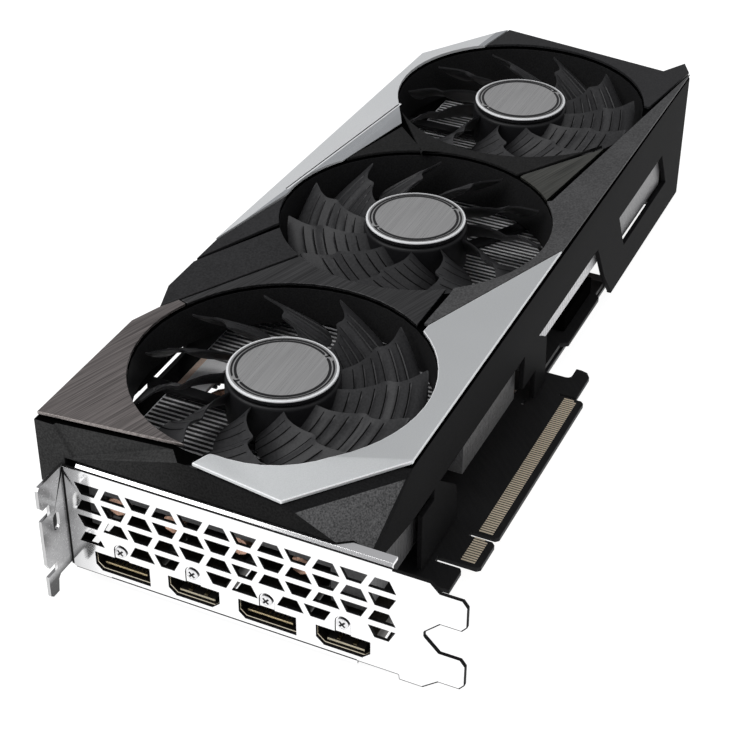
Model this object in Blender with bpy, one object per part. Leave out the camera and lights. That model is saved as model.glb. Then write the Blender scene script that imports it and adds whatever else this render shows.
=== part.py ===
"""A three-fan graphics card, lying on its backplate with its fans up.

Card frame, in millimetres: x runs from the outer face of the slot bracket to the far end, y from the edge
connector's outer edge to the power sockets, and z from the board's component side up through the fans.
The empty card_frame carries that frame, and sets the middle of the card's footprint at the world origin.
"""

import math

import bmesh
import bpy
from mathutils import Vector

MM = 0.001
GAP = 0.3

# Outer box of the card in the card frame.
X_MIN, X_MAX = -11.4, 283.4
Y_MIN, Y_MAX = -13.1, 114.0
Z_MIN = -8.5

# Board.
BOARD_LOW, BOARD_TOP = -1.6, 0.0
BOARD_FAR = 197.0
BOARD_BACK = 100.0

# Slot bracket.
BRACKET_THICK = 1.0
BRACKET_BACK = 106.9
BRACKET_TOP = 30.6
BRACKET_LOW = -4.9
TONGUE_HALF = 5.1
TONGUE_Z = (2.25, 22.55)
FLANGE_Z = (31.3, 32.3)
FLANGE_DEEP = 3.6

# Vents of the bracket: rows of alternating trapezoids.
VENT_PITCH = 7.99
VENT_FIRST = 98.4
VENT_COLUMNS = 12
VENT_WIDE, VENT_NARROW, VENT_TALL = 7.9, 4.1, 3.8
VENT_ROWS = (22.65, 17.0, 11.35, 5.65)
SHORT_ROW = {0: 0.0, 2: 0.0, 3: 0.0, 5: 0.0, 6: 0.3, 8: 2.6, 9: 2.6, 11: 0.0}

# Video ports, all on the same pitch; types alternate.
PORT_FIRST, PORT_PITCH, PORT_COUNT = 89.15, 22.5, 4
PORT_LOW, PORT_HIGH = -3.0, 3.2
PORT_DEPTH = 17.5
PORT_WALL = 0.6
SLIM_HALF, WIDE_HALF = 8.7, 7.95
TONGUE_START = 1.8
SLIM_BLADE_Z = (-1.75, -1.05)
WIDE_BLADE_Z = (-2.6, -1.9)
EAR_HALF = 2.2
EAR_TOPS = (8.3, 9.0, 8.3, 9.0)

# Shroud.
SHELL = 1.6
SKIN_TOP = 45.0
SKIN_THICK = 1.0
BRIDGE_TOP = 44.6
ROOF_TOP = 43.0
ROOF_LOW = 41.2
FRONT_WALL_CUT = (8.0, 18.0)
BACK_WALL_CUT = (107.0, 116.0)
BACK_SLIT = (42.0, 17.1, 78.0, 20.5)
SOCKET_SLOT = (147.6, -1.5, 185.4, 12.6)
NICK = ((71.5, 114.0), (60.4, 110.6), (51.0, 114.0))
NICK_LOW = 27.5
SHROUD_LOW = -4.5
WALL_Y = 13.6

# Fans.
FAN_X = (49.3, 140.3, 231.3)
FAN_Y = 63.8
FAN_SPIN = (1, -1, 1)
FAN_TIPS = (4.1, 10.4, 4.6)
OPENING_R = 43.0
DUCT_THICK = 1.3
DUCT_LOWS = (30.5, 27.0, 27.0)
BLADES = 11
HUB_R = 16.4
TIP_R = 40.5
CAP_R = 15.8
CAP_LOW, CAP_TOP = 42.3, 44.2
HUB_LOW, HUB_TOP = 29.5, 42.0
SHAFT_R = 1.5
BLADE_ROOT, BLADE_HALF = 1.5, 0.5
BLADE_HIGH, BLADE_RISE, BLADE_DROP, BLADE_SAG = 41.1, 1.0, 9.2, 0.6
CHORD_ROOT, CHORD_TIP = 27.0, 25.0
SPAN_STEPS, CHORD_STEPS = 5, 2
HUB_SIDES = 24
MOTOR_R, MOTOR_LOW, MOTOR_TOP = 13.6, 27.6, 35.0
MOUNT_R, MOUNT_LOW, MOUNT_TOP = 15.0, 24.9, 27.2
ARM_START, ARM_END, ARM_HALF, ARM_TOP = 12.0, 44.0, 2.0, 26.6

# How far, in degrees, a blade's leading edge runs ahead of its root, by radius: it bulges half way out.
SWEEP = (
    (16.4, 0.0), (21.0, 4.0), (26.5, 12.0), (29.0, 16.0),
    (32.0, 15.0), (35.0, 17.5), (38.5, 22.0), (40.5, 25.0),
)

# Cooler.
FIN_TOP = 24.3
FIN_PITCH = 5.0
FIN_THICK = 1.0
FIN_FRONT, FIN_BACK = 17.2, 102.0
CHANNEL_TOP = 19.0
LEG_FRONT, LEG_BACK = 28.0, 98.0

# Each fin stack: where it starts and ends, and how low its legs reach at the front and at the back.
FIN_STACKS = {
    "fin_stack_near": (6.0, 56.0, 7.5, 7.5),
    "fin_stack_middle": (70.0, 112.0, 7.5, 12.6),
    "fin_stack_back": (116.0, 203.0, 14.4, 18.6),
    "fin_stack_far": (205.0, 256.0, 9.0, 9.0),
}
BAR_HALF, BAR_LOW, BAR_TOP = 1.1, 20.0, 22.0
BAR_INSET_FRONT, BAR_INSET_BACK = 6.8, 2.0
PIPE_R = 3.0
PIPE_Z = 15.2
PIPE_SIDES = (37.5, 56.0, 76.5, 94.0)
PLATE_SIDES = (46.0, 54.7, 63.4, 72.1)

# Backplate and its spacers up to the board.
PLATE_LOW, PLATE_TOP = -4.8, -3.2
SPACER_R = 2.6
SPACERS = (
    (30.0, 22.0), (30.0, 96.0), (76.0, 34.0), (126.0, 34.0),
    (76.0, 84.0), (126.0, 84.0), (190.0, 60.0),
)

FRAME_NAME = "card_frame"

LOOKS = {
    "black_plastic": ((0.020, 0.020, 0.021), 0.45, 0.0),
    "textured_plastic": ((0.060, 0.060, 0.062), 0.65, 0.0),
    "blade_plastic": ((0.045, 0.045, 0.047), 0.5, 0.0),
    "brushed_gunmetal": ((0.16, 0.15, 0.145), 0.38, 0.9),
    "silver_paint": ((0.60, 0.61, 0.62), 0.35, 0.6),
    "nickel": ((0.78, 0.78, 0.79), 0.16, 1.0),
    "fin_aluminium": ((0.55, 0.55, 0.56), 0.4, 1.0),
    "copper": ((0.75, 0.42, 0.30), 0.3, 1.0),
    "board": ((0.010, 0.010, 0.011), 0.5, 0.0),
    "steel": ((0.55, 0.55, 0.57), 0.3, 1.0),
    "chip": ((0.03, 0.03, 0.035), 0.6, 0.0),
}


def clear_scene():
    for obj in list(bpy.data.objects):
        bpy.data.objects.remove(obj, do_unlink=True)


def make_look(name):
    """The Principled material of one finish."""
    found = bpy.data.materials.get(name)
    if found:
        return found
    colour, roughness, metallic = LOOKS[name]
    look = bpy.data.materials.new(name)
    look.use_nodes = True
    shader = look.node_tree.nodes["Principled BSDF"]
    shader.inputs["Base Color"].default_value = (*colour, 1.0)
    shader.inputs["Roughness"].default_value = roughness
    shader.inputs["Metallic"].default_value = metallic
    return look


def make_frame():
    frame = bpy.data.objects.new(FRAME_NAME, None)
    frame.location = Vector((-(X_MIN + X_MAX) / 2, -(Y_MIN + Y_MAX) / 2, -Z_MIN)) * MM
    bpy.context.scene.collection.objects.link(frame)
    return frame


def make_axis(name, x, y):
    """An empty on a fan's axis, which carries the fan's turning pieces."""
    axis = bpy.data.objects.new(name, None)
    axis.location = Vector((x, y, 0.0)) * MM
    axis.parent = bpy.data.objects[FRAME_NAME]
    bpy.context.scene.collection.objects.link(axis)
    return axis


def make_object(name, mesh_parts, look, parent=None, smooth=False):
    """An object from a bmesh in millimetres, parented to the card frame or to a fan's axis."""
    bmesh.ops.recalc_face_normals(mesh_parts, faces=mesh_parts.faces)
    bmesh.ops.scale(mesh_parts, vec=(MM, MM, MM), verts=mesh_parts.verts)
    mesh = bpy.data.meshes.new(name)
    mesh_parts.to_mesh(mesh)
    mesh_parts.free()
    if smooth:
        mesh.shade_smooth()
        mesh.set_sharp_from_angle(angle=math.radians(35))
    mesh.materials.append(make_look(look))
    obj = bpy.data.objects.new(name, mesh)
    obj.parent = parent or bpy.data.objects[FRAME_NAME]
    bpy.context.scene.collection.objects.link(obj)
    return obj


def combine(obj, mesh_parts, operation):
    """Adds a helper solid to an object, or takes it away, with a Boolean modifier."""
    name = f"{obj.name}_{operation.lower()}_{len(obj.modifiers)}"
    helper = make_object(name, mesh_parts, "black_plastic", obj.parent)
    helper.hide_render = True
    helper.display_type = "WIRE"
    modifier = obj.modifiers.new(name, "BOOLEAN")
    modifier.operation = operation
    modifier.object = helper
    modifier.solver = "EXACT"


def cut(obj, mesh_parts):
    combine(obj, mesh_parts, "DIFFERENCE")


def join(obj, mesh_parts):
    combine(obj, mesh_parts, "UNION")


def place(u, v, w, axis):
    """The point at u, v in the plane across an axis and at w along it."""
    if axis == "X":
        return (w, u, v)
    if axis == "Y":
        return (u, w, v)
    return (u, v, w)


def add_prism(bm, outline, low, high, axis="Z"):
    """Extrudes a flat outline along an axis, into a bmesh that may hold other solids."""
    corners = [bm.verts.new(place(u, v, low, axis)) for u, v in outline]
    face = bm.faces.new(corners)
    pushed = bmesh.ops.extrude_face_region(bm, geom=[face])
    moved = [item for item in pushed["geom"] if isinstance(item, bmesh.types.BMVert)]
    bmesh.ops.translate(bm, verts=moved, vec=place(0.0, 0.0, high - low, axis))
    return bm


def prism(outline, low, high, axis="Z"):
    return add_prism(bmesh.new(), outline, low, high, axis)


def rectangle(u0, v0, u1, v1):
    return [(u0, v0), (u1, v0), (u1, v1), (u0, v1)]


def arc(u, v, radius, start, end, steps):
    """Points of an arc, with its angles in degrees, both ends included."""
    points = []
    for step in range(steps + 1):
        angle = math.radians(start + (end - start) * step / steps)
        points.append((u + radius * math.cos(angle), v + radius * math.sin(angle)))
    return points


def circle(u, v, radius, sides):
    return arc(u, v, radius, 0.0, 360.0 * (sides - 1) / sides, sides - 1)


def rim_arc(fan, start, end, steps, radius=OPENING_R):
    """Part of a fan opening's rim."""
    return arc(FAN_X[fan], FAN_Y, radius, start, end, steps)


def slice_off(bm, point, normal):
    """Cuts away what lies on the normal's side of a plane, and closes the cut."""
    geometry = bm.verts[:] + bm.edges[:] + bm.faces[:]
    bmesh.ops.bisect_plane(bm, geom=geometry, plane_co=point, plane_no=normal, clear_outer=True)
    loose = [edge for edge in bm.edges if edge.is_boundary]
    bmesh.ops.edgeloop_fill(bm, edges=loose)


def hull(points):
    """The closed solid with the given corners."""
    bm = bmesh.new()
    corners = [bm.verts.new(point) for point in points]
    bmesh.ops.convex_hull(bm, input=corners)
    return bm


def plane_through(a, b, c):
    """A point and the upward normal of the plane through three points."""
    normal = (Vector(b) - Vector(a)).cross(Vector(c) - Vector(a)).normalized()
    if normal.z < 0:
        normal = -normal
    return Vector(a), normal


# Facets of the shroud's bracket end, each through three of its corners.
TRIM_FACET = ((0.9, 66.0, 44.0), (1.5, 39.6, 40.3), (26.0, 13.6, 44.6))
GRAIN_FACET = ((1.5, 39.6, 40.3), (26.0, 13.6, 44.6), (2.0, 22.8, 32.5))

# The wedge-shaped hollow over the bracket: two facets that meet along a line from low to high corner.
WEDGE_OUTER = ((-4.0, 103.0, 31.75), (-4.0, 66.0, 42.7), (-4.0, 112.0, 48.0), (-4.0, 66.0, 48.0))
WEDGE_INNER = (
    (2.0, 102.6, 33.4), (6.8, 68.0, 45.0), (2.4, 110.2, 48.0),
    (7.1, 68.0, 48.0), (0.9, 66.0, 44.0),
)
WEDGE_BACKING = (
    (1.35, 104.0, 31.5),
    (1.35, 64.0, 40.5),
    (1.35, 112.0, 42.9),
    (1.35, 64.0, 42.9),
    (4.2, 111.5, 42.9),
    (9.0, 66.5, 42.9),
    (3.8, 103.5, 31.8),
    (8.6, 66.5, 41.0),
)


def skin(outline, top):
    """A thin plate over an outline."""
    return prism(outline, top - SKIN_THICK, top)


# --- Board, its edge connector and what is soldered on it ---


def make_board():
    """The circuit board, with the edge connector's two tongues, the latch hook and the ports' notches."""
    outline = [(2.0, 11.0), (30.7, 11.0), (30.7, 4.3), (39.2, 4.3), (40.2, 5.0), (40.2, 12.6), (42.2, 12.6)]
    outline += [(42.2, 1.0), (43.2, 0.0), (53.2, 0.0), (54.2, 1.0), (54.2, 8.2), (56.1, 8.2), (56.1, 1.0)]
    outline += [(57.1, 0.0), (127.3, 0.0), (128.3, 1.0), (128.3, 8.5), (129.3, 8.5), (129.3, 3.0)]
    outline += [(141.5, 3.0), (143.6, 4.4), (144.2, 6.6), (144.2, 8.3), (140.0, 8.3)]
    outline += arc(140.0, 9.8, 1.5, 270.0, 180.0, 3)
    outline += [(138.5, 18.0), (155.5, 18.0), (157.3, 15.6), (187.0, 15.6), (189.0, 17.5)]
    outline += [(BOARD_FAR, 17.5), (BOARD_FAR, BOARD_BACK), (2.0, BOARD_BACK)]
    board = make_object("circuit_board", prism(outline, BOARD_LOW, BOARD_TOP), "board")
    notches = bmesh.new()
    for index in range(PORT_COUNT):
        middle = PORT_FIRST - PORT_PITCH * index
        shape = rectangle(1.0, middle - 9.8, PORT_DEPTH + 2.6, middle + 9.8)
        add_prism(notches, shape, BOARD_LOW - 1.0, BOARD_TOP + 1.0)
    cut(board, notches)
    cut(board, prism(rectangle(119.0, 16.7, 121.2, 17.5), BOARD_LOW - 1.0, BOARD_TOP + 1.0))


def make_processor():
    """The processor: its square carrier with the bare die on top."""
    package = make_object("gpu_package", prism(rectangle(81.0, 39.0, 121.0, 79.0), GAP, 1.6), "chip")
    join(package, prism(rectangle(88.5, 49.0, 113.5, 69.0), 1.0, 2.5))


def make_memory():
    """Memory chips in two columns beside the processor and a pair towards the edge connector."""
    places = [(68.0, 46.0), (68.0, 63.0), (134.0, 46.0), (134.0, 63.0), (92.0, 29.0), (110.0, 29.0)]
    for number, (x, y) in enumerate(places, start=1):
        shape = rectangle(x - 6.0, y - 7.0, x + 6.0, y + 7.0)
        make_object(f"memory_chip_{number}", prism(shape, GAP, 1.5), "chip")


def make_power_sockets():
    """Two power sockets on the board's back edge, open away from the board, with a latch ridge on top."""
    for name, start, width in (("power_socket_8", 149.0, 18.6), ("power_socket_6", 169.6, 14.4)):
        block = prism(rectangle(start, GAP, start + width, 10.6), 96.0, 111.9, "Y")
        socket = make_object(name, block, "black_plastic")
        cut(socket, prism(rectangle(start + 1.2, 1.5, start + width - 1.2, 9.2), 99.5, 114.0, "Y"))
        middle = start + width / 2
        join(socket, prism(rectangle(middle - 2.5, 10.2, middle + 2.5, 11.9), 103.0, 111.4, "Y"))


def make_lead_header():
    """The low black block at the board's far corner where the fans' leads plug in."""
    make_object("fan_lead_header", prism(rectangle(162.0, 19.0, 188.0, 30.0), GAP, 6.6), "black_plastic")


# --- Slot bracket and the video ports ---


def trapezoid(y, z, wide_top):
    """One vent's outline in the bracket's plane, from the middle of its lower edge."""
    top = VENT_WIDE / 2 if wide_top else VENT_NARROW / 2
    low = VENT_NARROW / 2 if wide_top else VENT_WIDE / 2
    return [(y - low, z), (y + low, z), (y + top, z + VENT_TALL), (y - top, z + VENT_TALL)]


def vent_cutters():
    bm = bmesh.new()
    for row, level in enumerate(VENT_ROWS):
        for column in range(VENT_COLUMNS):
            shift = 0.0
            if row == len(VENT_ROWS) - 1:
                if column not in SHORT_ROW:
                    continue
                shift = SHORT_ROW[column]
            middle = VENT_FIRST - VENT_PITCH * column + shift
            wide_top = (row + column) % 2 == 0
            add_prism(bm, trapezoid(middle, level, wide_top), -2.0, 3.0, "X")
    return bm


def port_outline(index, grow):
    """Outline of a port: odd ones have one cut corner, even ones have both lower corners cut."""
    middle = PORT_FIRST - PORT_PITCH * index
    low, high = PORT_LOW - grow, PORT_HIGH + grow
    if index % 2 == 0:
        half = SLIM_HALF + grow
        cut_corner = [(middle + half, low + 1.7), (middle + half - 1.8, low)]
        return [(middle - half, low), (middle - half, high), (middle + half, high)] + cut_corner
    half = WIDE_HALF + grow
    right = [(middle - half + 2.2, low), (middle - half, low + 2.0), (middle - half, high)]
    left = [(middle + half, high), (middle + half, low + 2.0), (middle + half - 2.2, low)]
    return right + left


def ear_outline(index, grow):
    """The port's mounting ear: straight sides and a round top."""
    middle = PORT_FIRST - PORT_PITCH * index
    half = EAR_HALF + grow
    centre = EAR_TOPS[index] - EAR_HALF
    return [(middle - half, 2.0)] + arc(middle, centre, half, 180.0, 0.0, 8) + [(middle + half, 2.0)]


def bracket_outline():
    """Face of the bracket, from its tab side round to the slot tongues and their notch."""
    low_1, high_1 = TONGUE_Z[0] - TONGUE_HALF, TONGUE_Z[0] + TONGUE_HALF
    low_2, high_2 = TONGUE_Z[1] - TONGUE_HALF, TONGUE_Z[1] + TONGUE_HALF
    tip = Y_MIN
    points = [(BRACKET_BACK, BRACKET_TOP), (BRACKET_BACK, BRACKET_LOW + 1.6), (104.6, BRACKET_LOW)]
    points += [(5.5, BRACKET_LOW), (5.3, BRACKET_LOW - 1.6), (-1.4, BRACKET_LOW - 1.6), (-5.8, low_1)]
    points += [(tip + 1.4, low_1), (tip, low_1 + 1.8), (tip, high_1 - 1.8), (tip + 1.4, high_1)]
    points += [(-5.8, high_1), (-1.5, 11.7), (-1.5, 13.2), (-5.8, low_2)]
    points += [(tip + 1.4, low_2), (tip, low_2 + 1.8), (tip, high_2 - 1.8), (tip + 1.4, high_2)]
    points += [(-5.6, high_2), (-2.9, BRACKET_TOP - 0.2)]
    return points


def tab_outline():
    """The screw tab, in its own plane: the fixing edge with two notches, down to the positioning hook."""
    notch_1, notch_2 = (19.3, 22.5), (-0.6, 1.9)
    return [
        (1.0, BRACKET_TOP),
        (X_MIN + 0.8, BRACKET_TOP),
        (X_MIN, BRACKET_TOP - 0.8),
        (X_MIN, notch_1[1] + 1.4),
        (X_MIN + 1.2, notch_1[1]),
        (-7.3, notch_1[1]),
        (-7.3, notch_1[0]),
        (X_MIN, notch_1[0]),
        (X_MIN, notch_2[1] + 2.0),
        (X_MIN + 1.0, notch_2[1]),
        (-6.9, notch_2[1]),
        (-6.9, notch_2[0]),
        (X_MIN, notch_2[0]),
        (X_MIN, -7.4),
        (X_MIN + 1.2, Z_MIN),
        (-7.4, Z_MIN),
        (-6.8, -4.4),
        (-5.8, BRACKET_LOW + 1.6),
        (1.0, BRACKET_LOW + 1.6),
    ]


def slot_outline():
    """The oval slot in the tab that takes the case's screw."""
    middle, half_length, radius = -4.9, 1.4, 1.5
    upper = arc(middle, 14.9 + half_length, radius, 0.0, 180.0, 6)
    return upper + arc(middle, 14.9 - half_length, radius, 180.0, 360.0, 6)


def make_bracket():
    bracket = make_object("io_bracket", prism(bracket_outline(), 0.0, BRACKET_THICK, "X"), "nickel")
    join(bracket, prism(tab_outline(), BRACKET_BACK - BRACKET_THICK, BRACKET_BACK, "Y"))
    fold = [(0.0, BRACKET_TOP - 1.5), (0.0, FLANGE_Z[1] - 0.7), (0.7, FLANGE_Z[1]), (FLANGE_DEEP, FLANGE_Z[1])]
    fold += [(FLANGE_DEEP, FLANGE_Z[0]), (BRACKET_THICK, FLANGE_Z[0]), (BRACKET_THICK, BRACKET_TOP - 1.5)]
    join(bracket, prism(fold, 7.8, 101.4, "Y"))
    lip = rectangle(17.5, BRACKET_LOW - 1.4, 93.2, BRACKET_LOW + 0.5)
    join(bracket, prism(lip, 0.25, BRACKET_THICK - 0.1, "X"))
    cut(bracket, vent_cutters())
    openings = bmesh.new()
    ears = bmesh.new()
    for index in range(PORT_COUNT):
        add_prism(openings, port_outline(index, 0.0), -2.0, 3.0, "X")
        add_prism(ears, ear_outline(index, 0.15), -2.0, 3.0, "X")
    cut(bracket, openings)
    cut(bracket, ears)
    cut(bracket, prism(slot_outline(), BRACKET_BACK - 3.0, BRACKET_BACK + 2.0, "Y"))


def make_ports():
    """Each port's metal shell with its ear, the contact tongue inside it, and the ear's screw."""
    for index in range(PORT_COUNT):
        number = index + 1
        middle = PORT_FIRST - PORT_PITCH * index
        back = BRACKET_THICK + GAP + PORT_DEPTH
        outer = prism(port_outline(index, PORT_WALL), BRACKET_THICK + GAP, back, "X")
        shell = make_object(f"video_port_shell_{number}", outer, "steel")
        join(shell, prism(ear_outline(index, 0.0), 0.25, BRACKET_THICK + 1.2, "X"))
        cut(shell, prism(port_outline(index, 0.05), -1.0, back - 1.0, "X"))
        hole_z = EAR_TOPS[index] - EAR_HALF
        cut(shell, prism(circle(middle, hole_z, 1.0, 12), -1.0, 4.0, "X"))
        half, (low, high) = (6.9, SLIM_BLADE_Z) if index % 2 == 0 else (5.5, WIDE_BLADE_Z)
        blade = prism(rectangle(middle - half, low, middle + half, high), TONGUE_START, back - 1.3, "X")
        make_object(f"video_port_tongue_{number}", blade, "black_plastic")
        screw = prism(circle(middle, hole_z, 1.8, 16), -0.55, -0.05, "X")
        head = make_object(f"port_screw_{number}", screw, "steel", smooth=True)
        join(head, prism(circle(middle, hole_z, 0.65, 10), -0.3, 3.2, "X"))


# --- Shroud and the plates that dress it ---


def shroud_outline(inset):
    """Outline of the shroud's walls: straight sides, a nick by the first fan and a clipped far end."""
    points = [(1.3 + inset, 15.6 + inset), (26.0, WALL_Y + inset), (275.4 - inset, 15.2 + inset)]
    if inset == 0.0:
        points += [(X_MAX, 19.2), (273.6, 24.4)]
    else:
        points += [(273.6 - inset, 24.4)]
    points += [(X_MAX - 0.4 - inset, 88.6 - inset * 0.5), (249.0 - inset * 0.5, 109.6 - inset)]
    points += [(100.0, Y_MAX - inset)]
    points += [(x, y - inset) for x, y in NICK]
    return points + [(1.3 + inset, Y_MAX - inset)]


def shroud_block(inset, low, high):
    """The shroud's closed outer form, with the two facets of its edge-connector corner sliced off."""
    bm = prism(shroud_outline(inset), low, high)
    for corners in (TRIM_FACET, GRAIN_FACET):
        point, normal = plane_through(*corners)
        depth = inset + (SKIN_THICK + GAP if corners is TRIM_FACET else 0.0)
        slice_off(bm, point - normal * depth, normal)
    return bm


def wall_windows():
    """Cutters for the long wall above the edge connector: fins show between slanted legs."""
    bm = bmesh.new()
    first = [(-1.0, 24.5), (-1.0, -9.0), (33.0, -9.0), (33.0, 20.8), (41.0, 20.8), (41.0, 24.5)]
    second = [(45.0, 24.5), (57.5, 14.0), (60.0, -9.0), (121.0, -9.0)]
    second += [(121.0, 12.4), (110.0, 12.4), (110.0, 24.5)]
    third = [(122.0, 24.5), (130.0, 19.5), (132.0, -9.0), (198.0, -9.0)]
    third += [(198.0, -4.0), (188.0, 8.0), (177.5, 24.5)]
    far = [(200.0, 24.5), (208.5, 9.4), (257.0, 9.4), (248.0, 24.5)]
    legs = [(32.0, 1.6), (32.0, -9.0), (133.0, -9.0), (133.0, 1.6)]
    for shape in (first, second, third, far):
        add_prism(bm, shape, *FRONT_WALL_CUT, "Y")
    return bm, prism(legs, *FRONT_WALL_CUT, "Y")


def make_shroud():
    """The fan shroud: roof and walls of one moulding, with a duct below each fan opening."""
    shroud = make_object("fan_shroud", shroud_block(0.0, SHROUD_LOW, ROOF_TOP), "black_plastic")
    cut(shroud, shroud_block(SHELL, SHROUD_LOW - 5.0, ROOF_LOW))
    join(shroud, hull(WEDGE_BACKING))
    cut(shroud, hull(WEDGE_OUTER + WEDGE_INNER))
    ducts = bmesh.new()
    for x, low in zip(FAN_X, DUCT_LOWS):
        add_prism(ducts, circle(x, FAN_Y, OPENING_R + DUCT_THICK, 40), low, ROOF_LOW + 0.6)
    join(shroud, ducts)
    bores = bmesh.new()
    for x in FAN_X:
        add_prism(bores, circle(x, FAN_Y, OPENING_R, 40), min(DUCT_LOWS) - 5.0, ROOF_TOP + 5.0)
    cut(shroud, bores)
    windows, legs = wall_windows()
    cut(shroud, windows)
    cut(shroud, legs)
    cut(shroud, prism(rectangle(5.0, -9.0, 105.4, FLANGE_Z[1] + GAP), -1.0, 4.0, "X"))
    cut(shroud, prism(rectangle(104.0, -9.0, 120.0, 22.0), -1.0, 2.6, "X"))
    close_nick(shroud)
    slots = bmesh.new()
    add_prism(slots, rectangle(*BACK_SLIT), *BACK_WALL_CUT, "Y")
    add_prism(slots, rectangle(*SOCKET_SLOT), *BACK_WALL_CUT, "Y")
    cut(shroud, slots)


def close_nick(shroud):
    """Straightens the back wall below the nick, with a shelf over it."""
    (right, back), (middle, deep), (left, _) = NICK
    inner = Y_MAX - SHELL
    recess = rectangle(left - 1.5, deep - 2.5, right + 1.5, inner)
    cut(shroud, prism(recess, SHROUD_LOW - 5.0, NICK_LOW - SHELL))
    join(shroud, prism(rectangle(left - 1.0, inner - 0.2, right + 1.0, back), SHROUD_LOW, NICK_LOW))
    shelf = [(left - 1.0, back), (left - 1.0, inner), (middle, deep - 1.5), (right + 1.0, inner), (right + 1.0, back)]
    join(shroud, prism(shelf, NICK_LOW - SHELL, NICK_LOW))


def make_brushed_plates():
    """Three brushed plates: beside the first fan, between the first two fans, and before the third."""
    near = [(2.9, 108.0), (2.4, 113.4), (50.8, 113.4), (60.2, 109.9), (66.0, 106.6)]
    near += rim_arc(0, 68.5, 171.0, 16, OPENING_R + 0.1)
    make_object("brushed_plate_near", skin(near, SKIN_TOP), "brushed_gunmetal")
    middle = [(66.6, 106.2)]
    middle += rim_arc(1, 149.3, 216.0, 10, OPENING_R + 0.1)
    middle += rim_arc(0, -35.8, 67.5, 14, OPENING_R + 0.1)
    make_object("brushed_plate_middle", skin(middle, SKIN_TOP - 0.3), "brushed_gunmetal")
    far = [(208.6, 25.0), (180.3, 42.9)]
    far += rim_arc(1, -28.0, -50.5, 4, OPENING_R + 0.4)
    make_object("brushed_plate_far", skin(far, SKIN_TOP - 0.6), "brushed_gunmetal")


def make_silver_trims():
    """The satin trims: a crescent round the first fan's corner, and the long far shoulder of the third."""
    near = [(1.6, 65.6), (1.7, 39.8), (26.2, 13.9), (140.0, 14.8), (85.0, 35.4)]
    near += rim_arc(0, -41.0, -178.5, 22, OPENING_R + 0.1)
    point, normal = plane_through(*TRIM_FACET)
    body = prism(near, ROOF_TOP - 8.0, SKIN_TOP)
    slice_off(body, point, normal)
    under = prism(rectangle(-5.0, 5.0, 150.0, 80.0), ROOF_TOP - 12.0, SKIN_TOP - SKIN_THICK)
    slice_off(under, point - normal * SKIN_THICK, normal)
    trim = make_object("silver_trim_near", body, "silver_paint")
    cut(trim, under)
    far = [(101.0, 113.6), (134.5, 107.0)]
    far += rim_arc(1, 96.0, 60.5, 5, OPENING_R + 0.3)
    far += [(163.2, 100.4), (196.5, 94.0)]
    far += rim_arc(2, 123.0, 39.0, 14, OPENING_R + 0.3)
    far += [(281.6, 88.4), (248.6, 109.2)]
    make_object("silver_trim_far", skin(far, SKIN_TOP), "silver_paint")


def make_side_panels():
    """Textured black panels: two on the back shoulder, and a long band over the side wall."""
    first = [(60.9, 110.0), (71.7, 113.5), (86.8, 113.5), (115.6, 99.2)]
    first += rim_arc(1, 126.0, 148.0, 4, OPENING_R + 0.1)
    make_object("back_panel_near", skin(first, SKIN_TOP - 0.3), "textured_plastic")
    second = [(88.6, 113.5), (100.2, 113.5), (133.2, 106.6)]
    second += rim_arc(1, 98.5, 121.0, 4, OPENING_R + 0.1)
    make_object("back_panel_far", skin(second, SKIN_TOP - 0.3), "textured_plastic")
    band = [(85.6, 35.6), (140.6, 14.9), (275.2, 15.2), (167.6, 28.3)]
    band += rim_arc(1, -52.5, -141.0, 14, OPENING_R + 0.1)
    band += [(103.0, 36.4), (85.8, 37.0)]
    make_object("side_band", skin(band, SKIN_TOP - 0.2), "textured_plastic")


def make_far_panels():
    """The panels beside the third fan: the bridge before it, and the clipped far end behind it."""
    bridge = [(193.6, 92.6), (178.8, 78.9)]
    bridge += rim_arc(2, 130.0, 241.0, 18, OPENING_R + 0.3)
    bridge += [(181.2, 43.3)]
    bridge += rim_arc(1, -26.0, 56.0, 14, OPENING_R + 0.3)
    make_object("bridge_panel", skin(bridge, BRIDGE_TOP), "textured_plastic")
    end = [(243.5, 20.5)]
    end += rim_arc(2, 287.0, 398.0, 22, OPENING_R + 0.3)
    end += [(281.9, 87.9), (273.2, 24.6), (282.6, 19.4), (276.2, 15.9)]
    make_object("end_panel", skin(end, SKIN_TOP - 0.2), "textured_plastic")


# --- Fans ---


def leading_angle(radius):
    """How far, in degrees, a blade's leading edge runs ahead of its root."""
    for (inner, before), (outer, after) in zip(SWEEP, SWEEP[1:]):
        if radius <= outer:
            return before + (after - before) * (radius - inner) / (outer - inner)
    return SWEEP[-1][1]


def blade_points(radius):
    """A blade's chord at one radius, leading to trailing: angle in degrees and height."""
    lead = leading_angle(radius)
    share = (radius - HUB_R) / (TIP_R - HUB_R)
    chord = CHORD_ROOT + (CHORD_TIP - CHORD_ROOT) * share
    points = []
    for step in range(CHORD_STEPS + 1):
        along = step / CHORD_STEPS
        height = BLADE_HIGH + BLADE_RISE * share - BLADE_DROP * along
        height -= BLADE_SAG * math.sin(math.pi * along)
        points.append((lead - chord * along, height))
    return points


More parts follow.
